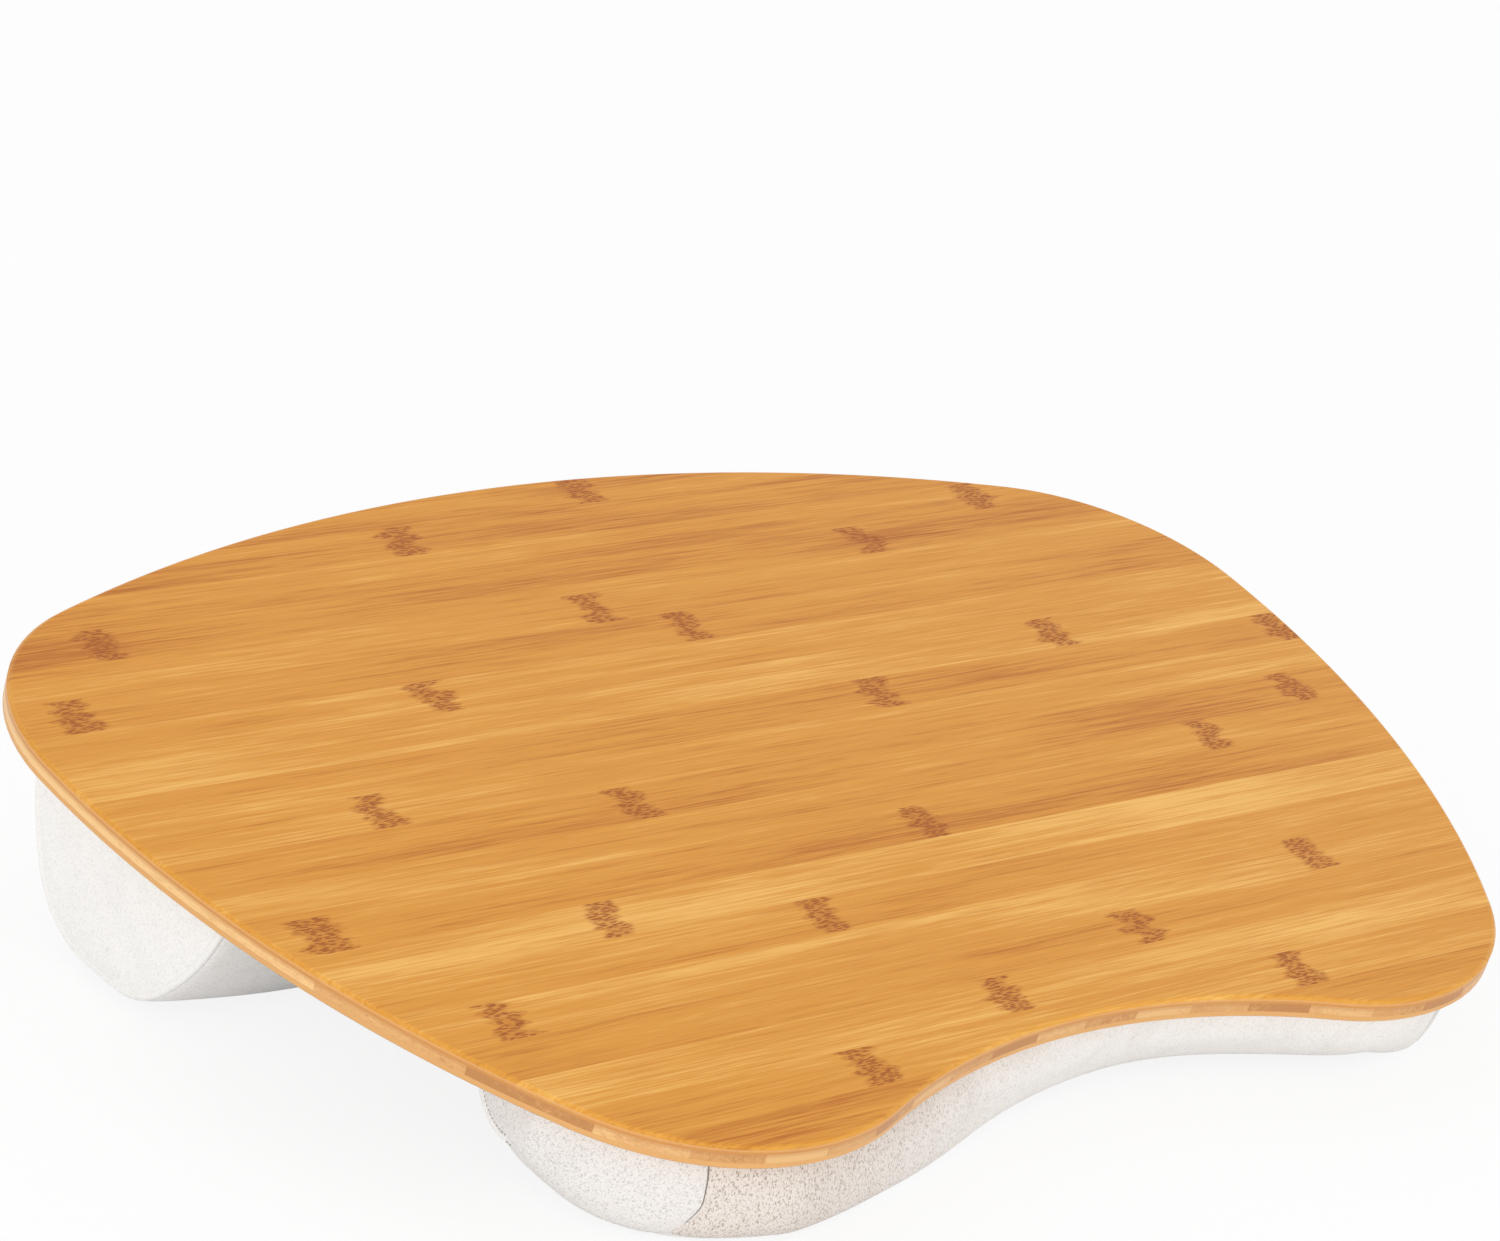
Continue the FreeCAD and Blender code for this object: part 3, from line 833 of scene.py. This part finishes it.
@dataclass
class BaseSheet:
    """The cloth stretched under the board, which closes both bolsters at the top.

    Attributes:
        plane: the board's plane.
        thickness: thickness of the cloth.
        rings: rings of faces from the edge to the middle.
        sag: how far the cloth hangs between the bolsters.
        channel: start and end of the channel between the bolsters, along the board.
        half_channel: half the length of that channel.
        edge_steps: steps round the edge.
    """

    plane: BoardPlane
    thickness: float = 0.0012
    rings: int = 26
    sag: float = 0.0012
    channel: tuple[float, float] = (0.112, 0.166)
    half_channel: float = 0.26
    edge_steps: int = 240

    def build(self, node: Piece) -> Piece:
        """Make the sheet inside the space of its CAD node.

        Args:
            node: the CAD node of the cloth.

        Returns:
            The sheet.
        """
        local = self.plane.node_points(node)
        top = float(local[:, 2].max())
        edge = local[local[:, 2] > top - 1e-5][:, :2]
        middle = np.array((0.0, 0.5 * (edge[:, 1].min() + edge[:, 1].max())))
        turn = np.arctan2(edge[:, 1] - middle[1], edge[:, 0] - middle[0])
        _, first = np.unique(np.round(turn, 5), return_index=True)
        edge = edge[first]
        closed = np.column_stack([np.vstack([edge, edge[:1]]), np.zeros(len(edge) + 1)])
        ring = resample(closed, self.edge_steps)[:-1, :2]
        flat = [middle + (ring - middle) * (1.0 - k / self.rings) for k in range(self.rings)]
        spread = np.vstack([*flat, middle[None, :]])
        start, end = self.channel
        dip = share_of(spread[:, 1] - start, end - start)
        inner = np.abs(spread[:, 0]) < self.half_channel
        height = top - 0.0001 - self.sag * np.sin(math.pi * dip) ** 2 * inner
        count = len(ring)
        faces = [face for k in range(self.rings - 1) for face in band(k * count, (k + 1) * count, count)]
        faces += cap((self.rings - 1) * count, self.rings * count, count)
        piece = new_piece("base_sheet", self.plane.to_row(np.column_stack([spread, height])), faces)
        thick = piece.modifiers.new("thickness", "SOLIDIFY")
        thick.thickness = self.thickness
        thick.offset = -1.0 if piece.data.polygons[0].normal.z > 0 else 1.0
        apply_modifiers(piece)
        piece.data.materials.append(LINING.material())
        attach(piece, BODY)
        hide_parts(node.name)
        LOG.info("built %s", piece.name)
        return piece


class Panel(Enum):
    """Cloth panels of a bolster, in the order of its materials."""

    COVER = 0
    END = 1
    WALL = 2


@dataclass
class Bolster:
    """A stuffed bolster: its form starts inside its CAD solids and is swollen by a cloth simulation.

    Attributes:
        name: name of the piece.
        plane: the board's plane.
        shell: CAD nodes whose outside gives the form, the end panels last.
        stuffing: CAD node of the stuffing.
        step: distance between the sections.
        around: steps round the shown part of a section.
        across: steps across the hidden top.
        rings: rings of faces on each end.
        inset: how far inside the CAD form the cloth starts.
        inset_run: depth under the top over which that inset grows.
        held_run: depth under the top in which the cloth is sewn down.
        clearance: gap that is kept to the base cloth and to the floor.
        swell: how far the cloth may move.
        pressure: pressure of the stuffing.
        stiffness: how much the cloth resists a pull along itself.
        bending: how much it resists a bend.
        frames: steps of the simulation.
        fill: how tightly the bolster is stuffed; it is not used.
        finishes: cloths of the cover, the ends and the wall.
        rays: rays by which a section is read.
        ray_length: distance from which they are cast.
        end_margin: how far inside its ends the CAD form is read.
        solid: the CAD form.
        half: half its length.
        top: height of its top.
        grid: finished points, by section and step.
        ends: first ring of points inside the left and the right end.
    """

    name: str
    plane: BoardPlane
    shell: tuple[str, ...]
    stuffing: str
    step: float = 0.006
    around: int = 66
    across: int = 18
    rings: int = 8
    inset: float = 0.0008
    inset_run: float = 0.012
    held_run: float = 0.0012
    clearance: float = 0.0002
    swell: float = 0.006
    pressure: float = 5.0
    stiffness: float = 12.0
    bending: float = 0.4
    frames: int = 20
    fill: float = 0.75
    finishes: tuple[ClothFinish, ...] = (COVER, PANEL, WALL)
    rays: int = 241
    ray_length: float = 0.6
    end_margin: float = 0.0021
    solid: BVHTree = field(init=False)
    half: float = field(init=False)
    top: float = field(init=False)
    grid: np.ndarray = field(init=False)
    ends: tuple[np.ndarray, np.ndarray] = field(init=False)

    def prepare(self, nodes: Nodes) -> None:
        """Read the form of the CAD solids.

        Args:
            nodes: CAD nodes by name.
        """
        shell = [nodes[name] for name in self.shell]
        points, faces = joined((self.plane.node_points(node), [p.vertices for p in node.data.polygons])
                               for node in shell)
        self.solid = BVHTree.FromPolygons([tuple(p) for p in points], faces)
        self.half = float(points[:, 0].max())
        self.top = float(self.plane.node_points(nodes["base_cloth"])[:, 2].min())

    def hit(self, spot: Sequence[float], way: Sequence[float]) -> Vector | None:
        """First point of the CAD form on a line."""
        return self.solid.ray_cast(Vector(spot), Vector(way))[0]

    def section(self, x: float) -> np.ndarray:
        """Closed section of the form at one place along the bolster.

        Args:
            x: place along the bolster.

        Returns:
            Points from the front of the top, under the bolster, to the back, and then across the hidden top.
        """
        at = math.copysign(min(abs(x), self.half - self.end_margin), x)
        deep = self.top - 0.004
        front = self.hit((at, -1.0, deep), (0.0, 1.0, 0.0))
        rear = self.hit((at, 1.0, deep), (0.0, -1.0, 0.0))
        centre = Vector((at, 0.5 * (front.y + rear.y), self.top - 0.0006))
        found = []
        for angle in np.linspace(0.0, math.pi, self.rays):
            way = Vector((0.0, -math.cos(angle), -math.sin(angle)))
            point = self.hit(centre + way * self.ray_length, -way)
            if point is not None:
                found.append(point[:])
        line = resample(np.array(found), self.around)
        shares = np.arange(1, self.across)[:, None] / self.across
        loop = np.vstack([line, line[-1] + shares * (line[0] - line[-1])])
        loop[:, 0] = x
        return loop

    def stations(self) -> np.ndarray:
        """Places of the sections along the bolster."""
        count = round(2 * (self.half - self.inset) / self.step)
        return np.linspace(-(self.half - self.inset), self.half - self.inset, count + 1)

    def slide(self, grid: np.ndarray) -> np.ndarray:
        """Slide the sections along the form, so that they follow a seam; the base bolster leaves them where
        they are.
        """
        return grid

    def drape(self, points: np.ndarray) -> np.ndarray:
        """Settle the swollen form as its weight and its sewing pull it; the base bolster leaves it as it is.
        """
        return points

    def start_points(self) -> tuple[np.ndarray, int, int]:
        """Points of the form before it is swollen.

        Returns:
            The points in the board's plane, the number of sections and the number of points of each.
        """
        loops = []
        for x in self.stations():
            loop = self.section(float(x))
            depth = share_of(self.top - loop[:, 2], self.inset_run)[:, None]
            loops.append(loop + unit(self.heart(loop) - loop) * self.inset * depth)
        grid = self.slide(np.array(loops))
        sections, count = grid.shape[:2]
        ends = []
        for loop in (grid[0], grid[-1]):
            heart = loop.mean(0)
            ends += [heart + (loop - heart) * (1.0 - k / self.rings) for k in range(1, self.rings)]
            ends.append(heart[None, :])
        return np.vstack([grid.reshape(-1, 3), *ends]), sections, count

    def heart(self, loop: np.ndarray) -> np.ndarray:
        """Point inside a section, from which all of its shown part can be seen."""
        shown = loop[: self.around + 1]
        return np.array((loop[0, 0], shown[:, 1].mean(), 0.45 * shown[:, 2].min() + 0.55 * self.top))

    def kept_full(self, points: np.ndarray, sections: int, count: int) -> np.ndarray:
        """Push the cloth out to the CAD form where it lies inside it.

        Args:
            points: swollen points in the board's plane.
            sections: number of sections.
            count: number of points of each section.

        Returns:
            The moved points.
        """
        points = points.copy()
        limit = self.half - self.end_margin
        for section in range(sections):
            loop = points[section * count: (section + 1) * count]
            heart = self.heart(loop)
            for spot in loop[: self.around + 1]:
                way = Vector((0.0, *(spot[1:] - heart[1:])))
                centre = Vector((min(max(spot[0], -limit), limit), heart[1], heart[2]))
                found = self.hit(centre + way.normalized() * self.ray_length, -way)
                if found is not None:
                    spot[1:] = heart[1:] + np.array(way.yz) * max(1.0, (found - centre).length / way.length)
        return points

    def faces(self, sections: int, count: int) -> tuple[list[Face], int]:
        """Faces of the form.

        Args:
            sections: number of sections.
            count: number of points of each section.

        Returns:
            The faces, and how many of them come before those of the ends.
        """
        made = [face for i in range(sections - 1) for face in band(i * count, (i + 1) * count, count)]
        body = len(made)
        start = sections * count
        for outer in (0, (sections - 1) * count):
            for _ in range(self.rings - 1):
                made += band(outer, start, count)
                outer = start
                start += count
            made += cap(outer, start, count)
            start += 1
        return made, body

    def swollen(self, piece: Piece, start: np.ndarray) -> np.ndarray:
        """Swell the cloth with the pressure of the stuffing.

        Args:
            piece: the piece before it is swollen.
            start: its points in the board's plane.

        Returns:
            The moved points in the board's plane.
        """
        held = piece.vertex_groups.new(name="held")
        sewn = np.nonzero(start[:, 2] > self.top - self.held_run)[0]
        held.add([int(k) for k in sewn], 1.0, "REPLACE")
        cloth = piece.modifiers.new("stuffing", "CLOTH")
        cloth.settings.vertex_group_mass = "held"
        cloth.settings.use_pressure = True
        cloth.settings.uniform_pressure_force = self.pressure
        cloth.settings.tension_stiffness = self.stiffness
        cloth.settings.compression_stiffness = self.stiffness
        cloth.settings.bending_stiffness = self.bending
        cloth.settings.quality = 6
        cloth.settings.effector_weights.gravity = 0.0
        scene = bpy.context.scene
        for frame in range(1, self.frames + 1):
            scene.frame_set(frame)
        seen = piece.evaluated_get(bpy.context.evaluated_depsgraph_get())
        moved = self.plane.to_local(mesh_points(seen.data)) - start
        piece.modifiers.clear()
        scene.frame_set(1)
        length = np.linalg.norm(moved, axis=1)[:, None]
        return start + moved * np.minimum(1.0, self.swell / np.maximum(length, 1e-9))

    def settle(self, points: np.ndarray) -> np.ndarray:
        """Keep the form below the base cloth and on the floor.

        Args:
            points: points in the board's plane.

        Returns:
            Points in the row frame.
        """
        points = points.copy()
        points[:, 2] = np.minimum(points[:, 2], self.top - self.clearance)
        row = self.plane.to_row(points)
        row[:, 2] = np.maximum(row[:, 2], self.clearance)
        return row

    def panel(self, place: float, step: int) -> Panel:
        """Panel of a face, by its place along the bolster and its step round the section."""
        return Panel.COVER

    def build(self, nodes: Nodes) -> Piece:
        """Make the bolster.

        Args:
            nodes: CAD nodes by name.

        Returns:
            The piece.
        """
        self.prepare(nodes)
        start, sections, count = self.start_points()
        faces, body = self.faces(sections, count)
        piece = new_piece(self.name, self.plane.to_row(start), faces)
        points = self.kept_full(self.swollen(piece, start), sections, count)
        piece.data.vertices.foreach_set("co", self.settle(self.drape(points)).ravel())
        piece.data.update()
        for finish in self.finishes:
            piece.data.materials.append(finish.material())
        places = self.stations()
        for polygon in piece.data.polygons:
            panel = Panel.END
            if polygon.index < body:
                section, step = divmod(polygon.index, count)
                panel = self.panel(0.5 * float(places[section] + places[section + 1]), step)
            polygon.material_index = panel.value
        piece.modifiers.new("smooth", "SUBSURF").levels = 1
        apply_modifiers(piece)
        points = mesh_points(piece.data)
        self.grid = points[: sections * count].reshape(sections, count, 3)
        left = sections * count
        right = left + (self.rings - 1) * count + 1
        self.ends = (points[left: left + count], points[right: right + count])
        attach(piece, BODY)
        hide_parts(*self.shell, self.stuffing)
        LOG.info("built %s", piece.name)
        return piece

    def seam(self, name: str, paths: Sequence[np.ndarray], radius: float, finish: ClothFinish,
             slot: str, taper: float = 1.0) -> Piece:
        """Make a seam of one or more runs of cord or thread.

        Args:
            name: name of the piece.
            paths: points of each run, in the row frame.
            radius: radius of the run.
            finish: the seam's cloth.
            slot: the record's slot of its finish; it is not used.
            taper: share of the radius that is left at the end of a run.

        Returns:
            The piece.
        """
        points, faces = joined(tube(path, radius, taper) for path in paths)
        piece = new_piece(name, points, faces)
        piece.data.materials.append(finish.material())
        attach(piece, BODY)
        LOG.info("built %s", piece.name)
        return piece


@dataclass
class RearBolster(Bolster):
    """The deep bolster under the back half of the board.

    Attributes:
        belly: how far its front bulges between the end panels.
        belly_run: how far behind the middle the bulge starts, and over what length it grows.
        belly_rise: how far below the top it starts, and over what depth it grows.
        belly_end: length from an end panel over which it grows.
        seam_radius: radius of the rolled seams round the ends.
        seam_sink: how far these are sunk into the cloth.
        seam_steps: steps along one of them.
    """

    belly: float = 0.01
    belly_run: tuple[float, float] = (0.03, 0.05)
    belly_rise: tuple[float, float] = (0.008, 0.05)
    belly_end: float = 0.06
    seam_radius: float = 0.0017
    seam_sink: float = 0.0012
    seam_steps: int = 120

    def drape(self, points: np.ndarray) -> np.ndarray:
        """Let the front bulge between the end panels.

        Args:
            points: swollen points in the board's plane.

        Returns:
            The moved points.
        """
        moved = points.copy()
        middle = 0.5 * (points[:, 1].min() + points[:, 1].max())
        behind, length = self.belly_run
        front = share_of(middle + behind - points[:, 1], length)
        below, length = self.belly_rise
        low = share_of(self.top - below - points[:, 2], length)
        inner = share_of(self.half - np.abs(points[:, 0]), self.belly_end)
        inner = inner * (2.0 - inner)
        moved[:, 1] -= self.belly * front * low * inner
        return moved

    def sew(self) -> None:
        """Lay a soft rolled seam round both end panels."""
        last = self.around - 2
        for side, row in (("left", 0), ("right", -1)):
            loop = self.grid[row]
            sunk = loop + unit(loop.mean(0) - loop) * self.seam_sink
            path = resample(sunk[2:last], self.seam_steps)
            self.seam(f"rear_seam_{side}", [path], self.seam_radius, CORD, "end_cloth")


@dataclass
class FrontBolster(Bolster):
    """The shallow bolster under the front lobes.

    Attributes:
        corner: distance of the corner seams from the middle.
        corner_places: places of the sections round a corner seam, from the seam.
        corner_room: distance from the seam that no other section has.
        seam_bend: how far a corner seam bends outwards at its foot.
        bend_run: share of the depth at which the bend starts, and over what share it grows.
        slide_reach: distance from the seam over which the cloth bends with it.
        groove: how deep a corner seam is drawn into the cloth.
        groove_width: width of that groove.
        groove_run: where along the board the groove ends, and over what length it fades.
        foot_share: share of a section's shown part that is the front wall.
        foot_shift: how far the foot of the front wall is moved back, by its place along the bolster.
        shift_blur: length to either side over which that is evened out.
        right_lift: how far the foot of the right half is lifted off the floor.
        lift_run: place from which it is lifted, and over what length that grows.
        right_start: place from which the right end is fuller.
        right_fill: share by which the right end is deeper than its CAD form.
        right_reach: how much further right the tip of the right end reaches.
        wall_depth: depth of the front wall.
        front_run: where along the board the front is no longer moved, and over what length that fades.
        thread_radius: radius of the corner seams' dark thread, which also stands for the painted shade in
            their crease.
        roll_radius: radius of the rolled seams of the end panels.
        stitch_radius: radius of the stitches beside them.
        corner_steps: steps along a corner seam.
        roll_steps: steps along a rolled seam.
    """

    corner: float = 0.178
    corner_places: tuple[float, ...] = (-0.0032, -0.0014, 0.0, 0.0014, 0.0032)
    corner_room: float = 0.0036
    seam_bend: float = 0.007
    bend_run: tuple[float, float] = (0.45, 0.45)
    slide_reach: float = 0.022
    groove: float = 0.0009
    groove_width: float = 0.0016
    groove_run: tuple[float, float] = (0.04, 0.01)
    foot_share: float = 0.22
    foot_shift: tuple[tuple[float, float], ...] = (
        (-0.22, 0.0005), (-0.16, -0.0095), (-0.11, -0.011), (-0.06, -0.0095), (-0.02, 0.004), (0.02, 0.0145),
        (0.06, 0.022), (0.1, 0.02), (0.13, 0.013), (0.165, 0.0055), (0.22, 0.0005))
    shift_blur: float = 0.02
    right_lift: float = 0.0026
    lift_run: tuple[float, float] = (0.03, 0.1)
    right_start: float = 0.15
    right_fill: float = 0.6
    right_reach: float = 0.0015
    wall_depth: float = 0.042
    front_run: tuple[float, float] = (0.075, 0.03)
    thread_radius: float = 0.0003
    roll_radius: float = 0.0013
    stitch_radius: float = 0.00035
    corner_steps: int = 40
    roll_steps: int = 90

    def sunk(self, points: np.ndarray) -> np.ndarray:
        """Share of the bolster's depth at which points lie, from 0 at its top to 1 at its foot."""
        return share_of(self.top - points[..., 2], self.wall_depth)

    @property
    def foot(self) -> int:
        """Step round a section at the foot of the front wall."""
        return round(self.around * self.foot_share)

    def bend(self, points: np.ndarray) -> np.ndarray:
        """How far the corner seams bend outwards at the height of points."""
        start, length = self.bend_run
        return self.seam_bend * share_of(self.sunk(points) - start, length)

    def stations(self) -> np.ndarray:
        """Places of the sections, closer together at the corner seams.

        Returns:
            The places along x.
        """
        even = super().stations()
        even = even[np.abs(np.abs(even) - self.corner) > self.corner_room]
        close = np.array(self.corner_places)
        return np.sort(np.concatenate([even, close - self.corner, close + self.corner]))

    def slide(self, grid: np.ndarray) -> np.ndarray:
        """Slide the sections outwards at the foot of the corner seams.

        Args:
            grid: points of the sections.

        Returns:
            The moved points, on the same form.
        """
        places = self.stations()
        near = np.exp(-(((np.abs(places) - self.corner) / self.slide_reach) ** 2))[:, None]
        target = places[:, None] + np.sign(places)[:, None] * near * self.bend(grid)
        moved = grid.copy()
        for row in range(grid.shape[1]):
            moved[:, row, 0] = target[:, row]
            for axis in (1, 2):
                moved[:, row, axis] = np.interp(target[:, row], places, grid[:, row, axis])
        return moved

    def drape(self, points: np.ndarray) -> np.ndarray:
        """Move the wall's foot, lift its right half, fill the right end and draw in the corner seams.

        Args:
            points: swollen points in the board's plane.

        Returns:
            The moved points.
        """
        moved = points.copy()
        x, y = points[:, 0], points[:, 1]
        limit, fade = self.front_run
        front = share_of(limit - y, fade) * self.sunk(points)
        places, shifts = np.array(self.foot_shift).T
        slips = np.linspace(-self.shift_blur, self.shift_blur, 9)
        shift = np.mean([np.interp(x + slip, places, shifts) for slip in slips], axis=0)
        start, length = self.lift_run
        right = share_of(x - start, length)
        right = right * right * (3.0 - 2.0 * right)
        aside = np.abs(x) - self.corner - self.bend(points)
        limit, fade = self.groove_run
        crease = self.groove * np.exp(-((aside / self.groove_width) ** 2)) * share_of(limit - y, fade)
        end = share_of(x - self.right_start, self.half - self.right_start)
        moved[:, 0] += self.right_reach * end
        moved[:, 1] += front * shift + crease
        moved[:, 2] += front * self.right_lift * right
        moved[:, 2] -= self.right_fill * end * (self.top - points[:, 2])
        return moved

    def panel(self, place: float, step: int) -> Panel:
        """Panel that a face between two sections belongs to.

        Args:
            place: place of the face along the bolster.
            step: step of the face round the section, from the front of its top.

        Returns:
            The panel.
        """
        if abs(place) > self.corner:
            return Panel.END if step < self.foot + 9 else Panel.COVER
        return Panel.WALL if step < self.foot + 2 else Panel.COVER

    def sew(self) -> None:
        """Lay the corner seams and the stitched seams of the end panels."""
        places = self.stations()
        start = self.around // 2 - 2
        last = self.around - 1
        for side, sign, edge in (("left", -1, 0), ("right", 1, len(places) - 1)):
            row = int(np.argmin(np.abs(places - sign * self.corner)))
            corner = resample(self.grid[row, 1:self.foot], self.corner_steps)
            # The corner seam's dark thread also stands for the painted shade in its crease.
            self.seam(f"front_corner_seam_{side}", [corner], self.thread_radius, THREAD_AND_CREASE_SHADE, "wall_cloth",
                      taper=0.5)
            rim = self.grid[edge]
            wrap_line = rim + (self.grid[edge - sign] - rim) * 0.4
            end_line = rim + (self.ends[edge > 0] - rim) * 0.55
            roll, *lines = [resample(line[start:last], self.roll_steps)
                            for line in (rim, wrap_line, end_line)]
            self.seam(f"front_roll_{side}", [roll], self.roll_radius, CORD, "end_cloth")
            stitches = [line[k: k + 4] for line in lines for k in range(0, len(line) - 4, 5)]
            self.seam(f"front_stitches_{side}", stitches, self.stitch_radius, THREAD_AND_CREASE_SHADE, "end_cloth")


@dataclass(frozen=True)
class Lamp:
    """A soft studio lamp.

    Attributes:
        name: name of the lamp.
        place: where it hangs, in the row frame.
        size: side of its square face.
        power: power in watts.
    """

    name: str
    place: Triple
    size: float
    power: float

    def hang(self, aim: Vector) -> None:
        """Hang the lamp so that it points at a place.

        Args:
            aim: the place.
        """
        light = bpy.data.lights.new(self.name, "AREA")
        light.size = self.size
        light.energy = self.power
        lamp = bpy.data.objects.new(self.name, light)
        lamp.location = self.place
        lamp.rotation_euler = (aim - Vector(self.place)).to_track_quat("-Z", "Y").to_euler()
        bpy.context.scene.collection.objects.link(lamp)


@dataclass
class Studio:
    """The pale floor, the soft light and the camera.

    Attributes:
        plane: the board's plane, in which the camera's place is given.
        eye: the camera's place.
        right: direction to the right of its picture.
        ahead: direction in which it looks.
        lens: its focal length, in millimetres.
        sensor: width of its sensor, in millimetres.
        reach: half the floor's side.
        ambient: strength of the light from all round.
        floor_white: share of plain white in the floor that is seen.
        aim: place that the lamps point at.
        lamps: the lamps.
    """

    plane: BoardPlane
    eye: Triple = (-1.17956, -0.88666, 0.89043)
    right: Triple = (0.760743, -0.592321, 0.265379)
    ahead: Triple = (0.638996, 0.611792, -0.466256)
    lens: float = 119.7155
    sensor: float = 36.0
    reach: float = 30.0
    ambient: float = 0.83
    floor_white: float = 0.85
    aim: Triple = (0.0, 0.0, 0.06)
    lamps: tuple[Lamp, ...] = (
        Lamp("key_lamp", (-2.3, -1.2, 0.75), 1.4, 14.0),
        Lamp("fill_lamp", (0.1, -2.5, 0.4), 1.0, 8.0),
        Lamp("top_lamp", (0.2, 0.5, 2.6), 1.6, 5.0),
    )

    def set_camera(self) -> None:
        """Put up the camera."""
        axes = self.plane.axes.T
        right = Vector(axes @ np.array(self.right)).normalized()
        ahead = Vector(axes @ np.array(self.ahead))
        up = right.cross(ahead).normalized()
        turn = Matrix((right, up, right.cross(up))).transposed()
        data = bpy.data.cameras.new("camera")
        data.sensor_fit = "HORIZONTAL"
        data.sensor_width = self.sensor
        data.lens = self.lens
        data.clip_end = 200.0
        camera = bpy.data.objects.new("camera", data)
        place = Vector(self.plane.to_row(np.array(self.eye)))
        camera.matrix_world = Matrix.Translation(place) @ turn.to_4x4()
        bpy.context.scene.collection.objects.link(camera)
        bpy.context.scene.camera = camera

    @staticmethod
    def seen(graph: Graph) -> Socket:
        """Value that is 1 where the camera sees a surface, straight or in a gloss.

        Args:
            graph: nodes of the stage's material or of the world.

        Returns:
            The value socket.
        """
        path = graph.node("LightPath").outputs
        shown = graph.math("MAXIMUM", path["Is Camera Ray"], path["Is Glossy Ray"])
        return graph.math("MAXIMUM", shown, path["Is Transmission Ray"])

    def lay_floor(self) -> None:
        """Lay the pale floor, which keeps the tray's shadow."""
        far = self.reach
        corners = np.array([(-far, -far, 0), (far, -far, 0), (far, far, 0), (-far, far, 0)])
        floor = new_piece("floor", corners, [(0, 1, 2, 3)])
        made = bpy.data.materials.new("floor")
        graph = Graph.of(made)
        tint = graph.noise(graph.node("TexCoord").outputs["Object"], (2, 2, 2))
        colour = graph.mix(graph.smooth(tint, 0.2, 0.8), shade(250, 250, 249), shade(252, 252, 252))
        matte = graph.node("BsdfDiffuse", {"Color": colour})
        glow = graph.node("Emission", {"Color": WHITE, "Strength": 1.0})
        share = graph.times(self.seen(graph), self.floor_white)
        mixed = graph.node("MixShader", {0: share, 1: matte.outputs[0], 2: glow.outputs[0]})
        graph.node("OutputMaterial", {"Surface": mixed.outputs[0]})
        floor.data.materials.append(made)

    def light(self) -> None:
        """Hang the lamps and set the light from all round."""
        scene = bpy.context.scene
        scene.view_settings.view_transform = "Standard"
        scene.world = bpy.data.worlds.new("studio")
        graph = Graph.of(scene.world)
        dim = graph.node("Background", {"Color": WHITE, "Strength": self.ambient})
        white = graph.node("Background", {"Color": WHITE, "Strength": 1.0})
        mixed = graph.node("MixShader", {0: self.seen(graph), 1: dim.outputs[0], 2: white.outputs[0]})
        graph.node("OutputWorld", {"Surface": mixed.outputs[0]})
        for lamp in self.lamps:
            lamp.hang(Vector(self.aim))


def main() -> None:
    """Build the tray in order and report each piece."""
    logging.basicConfig(level=logging.INFO, format="%(name)s: %(message)s")
    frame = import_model()
    nodes = frame["nodes"]
    plane = BoardPlane.of(frame)
    studio = Studio(plane)
    studio.set_camera()
    studio.lay_floor()
    studio.light()
    Board(plane).finish(nodes)
    BaseSheet(plane).build(nodes["base_cloth"])
    rear = RearBolster("rear_bolster", plane, ("rear_wrap", "rear_end_left", "rear_end_right"),
                       "rear_stuffing", finishes=(COVER, SOFT_LIT_PANEL, WALL))
    rear.build(nodes)
    rear.sew()
    front = FrontBolster("front_bolster", plane,
                         ("front_wrap", "front_wall", "front_end_left", "front_end_right"), "front_stuffing",
                         step=0.005, around=52, across=14, pressure=3.0, swell=0.003)
    front.build(nodes)
    front.sew()


if __name__ == "__main__":
    main()
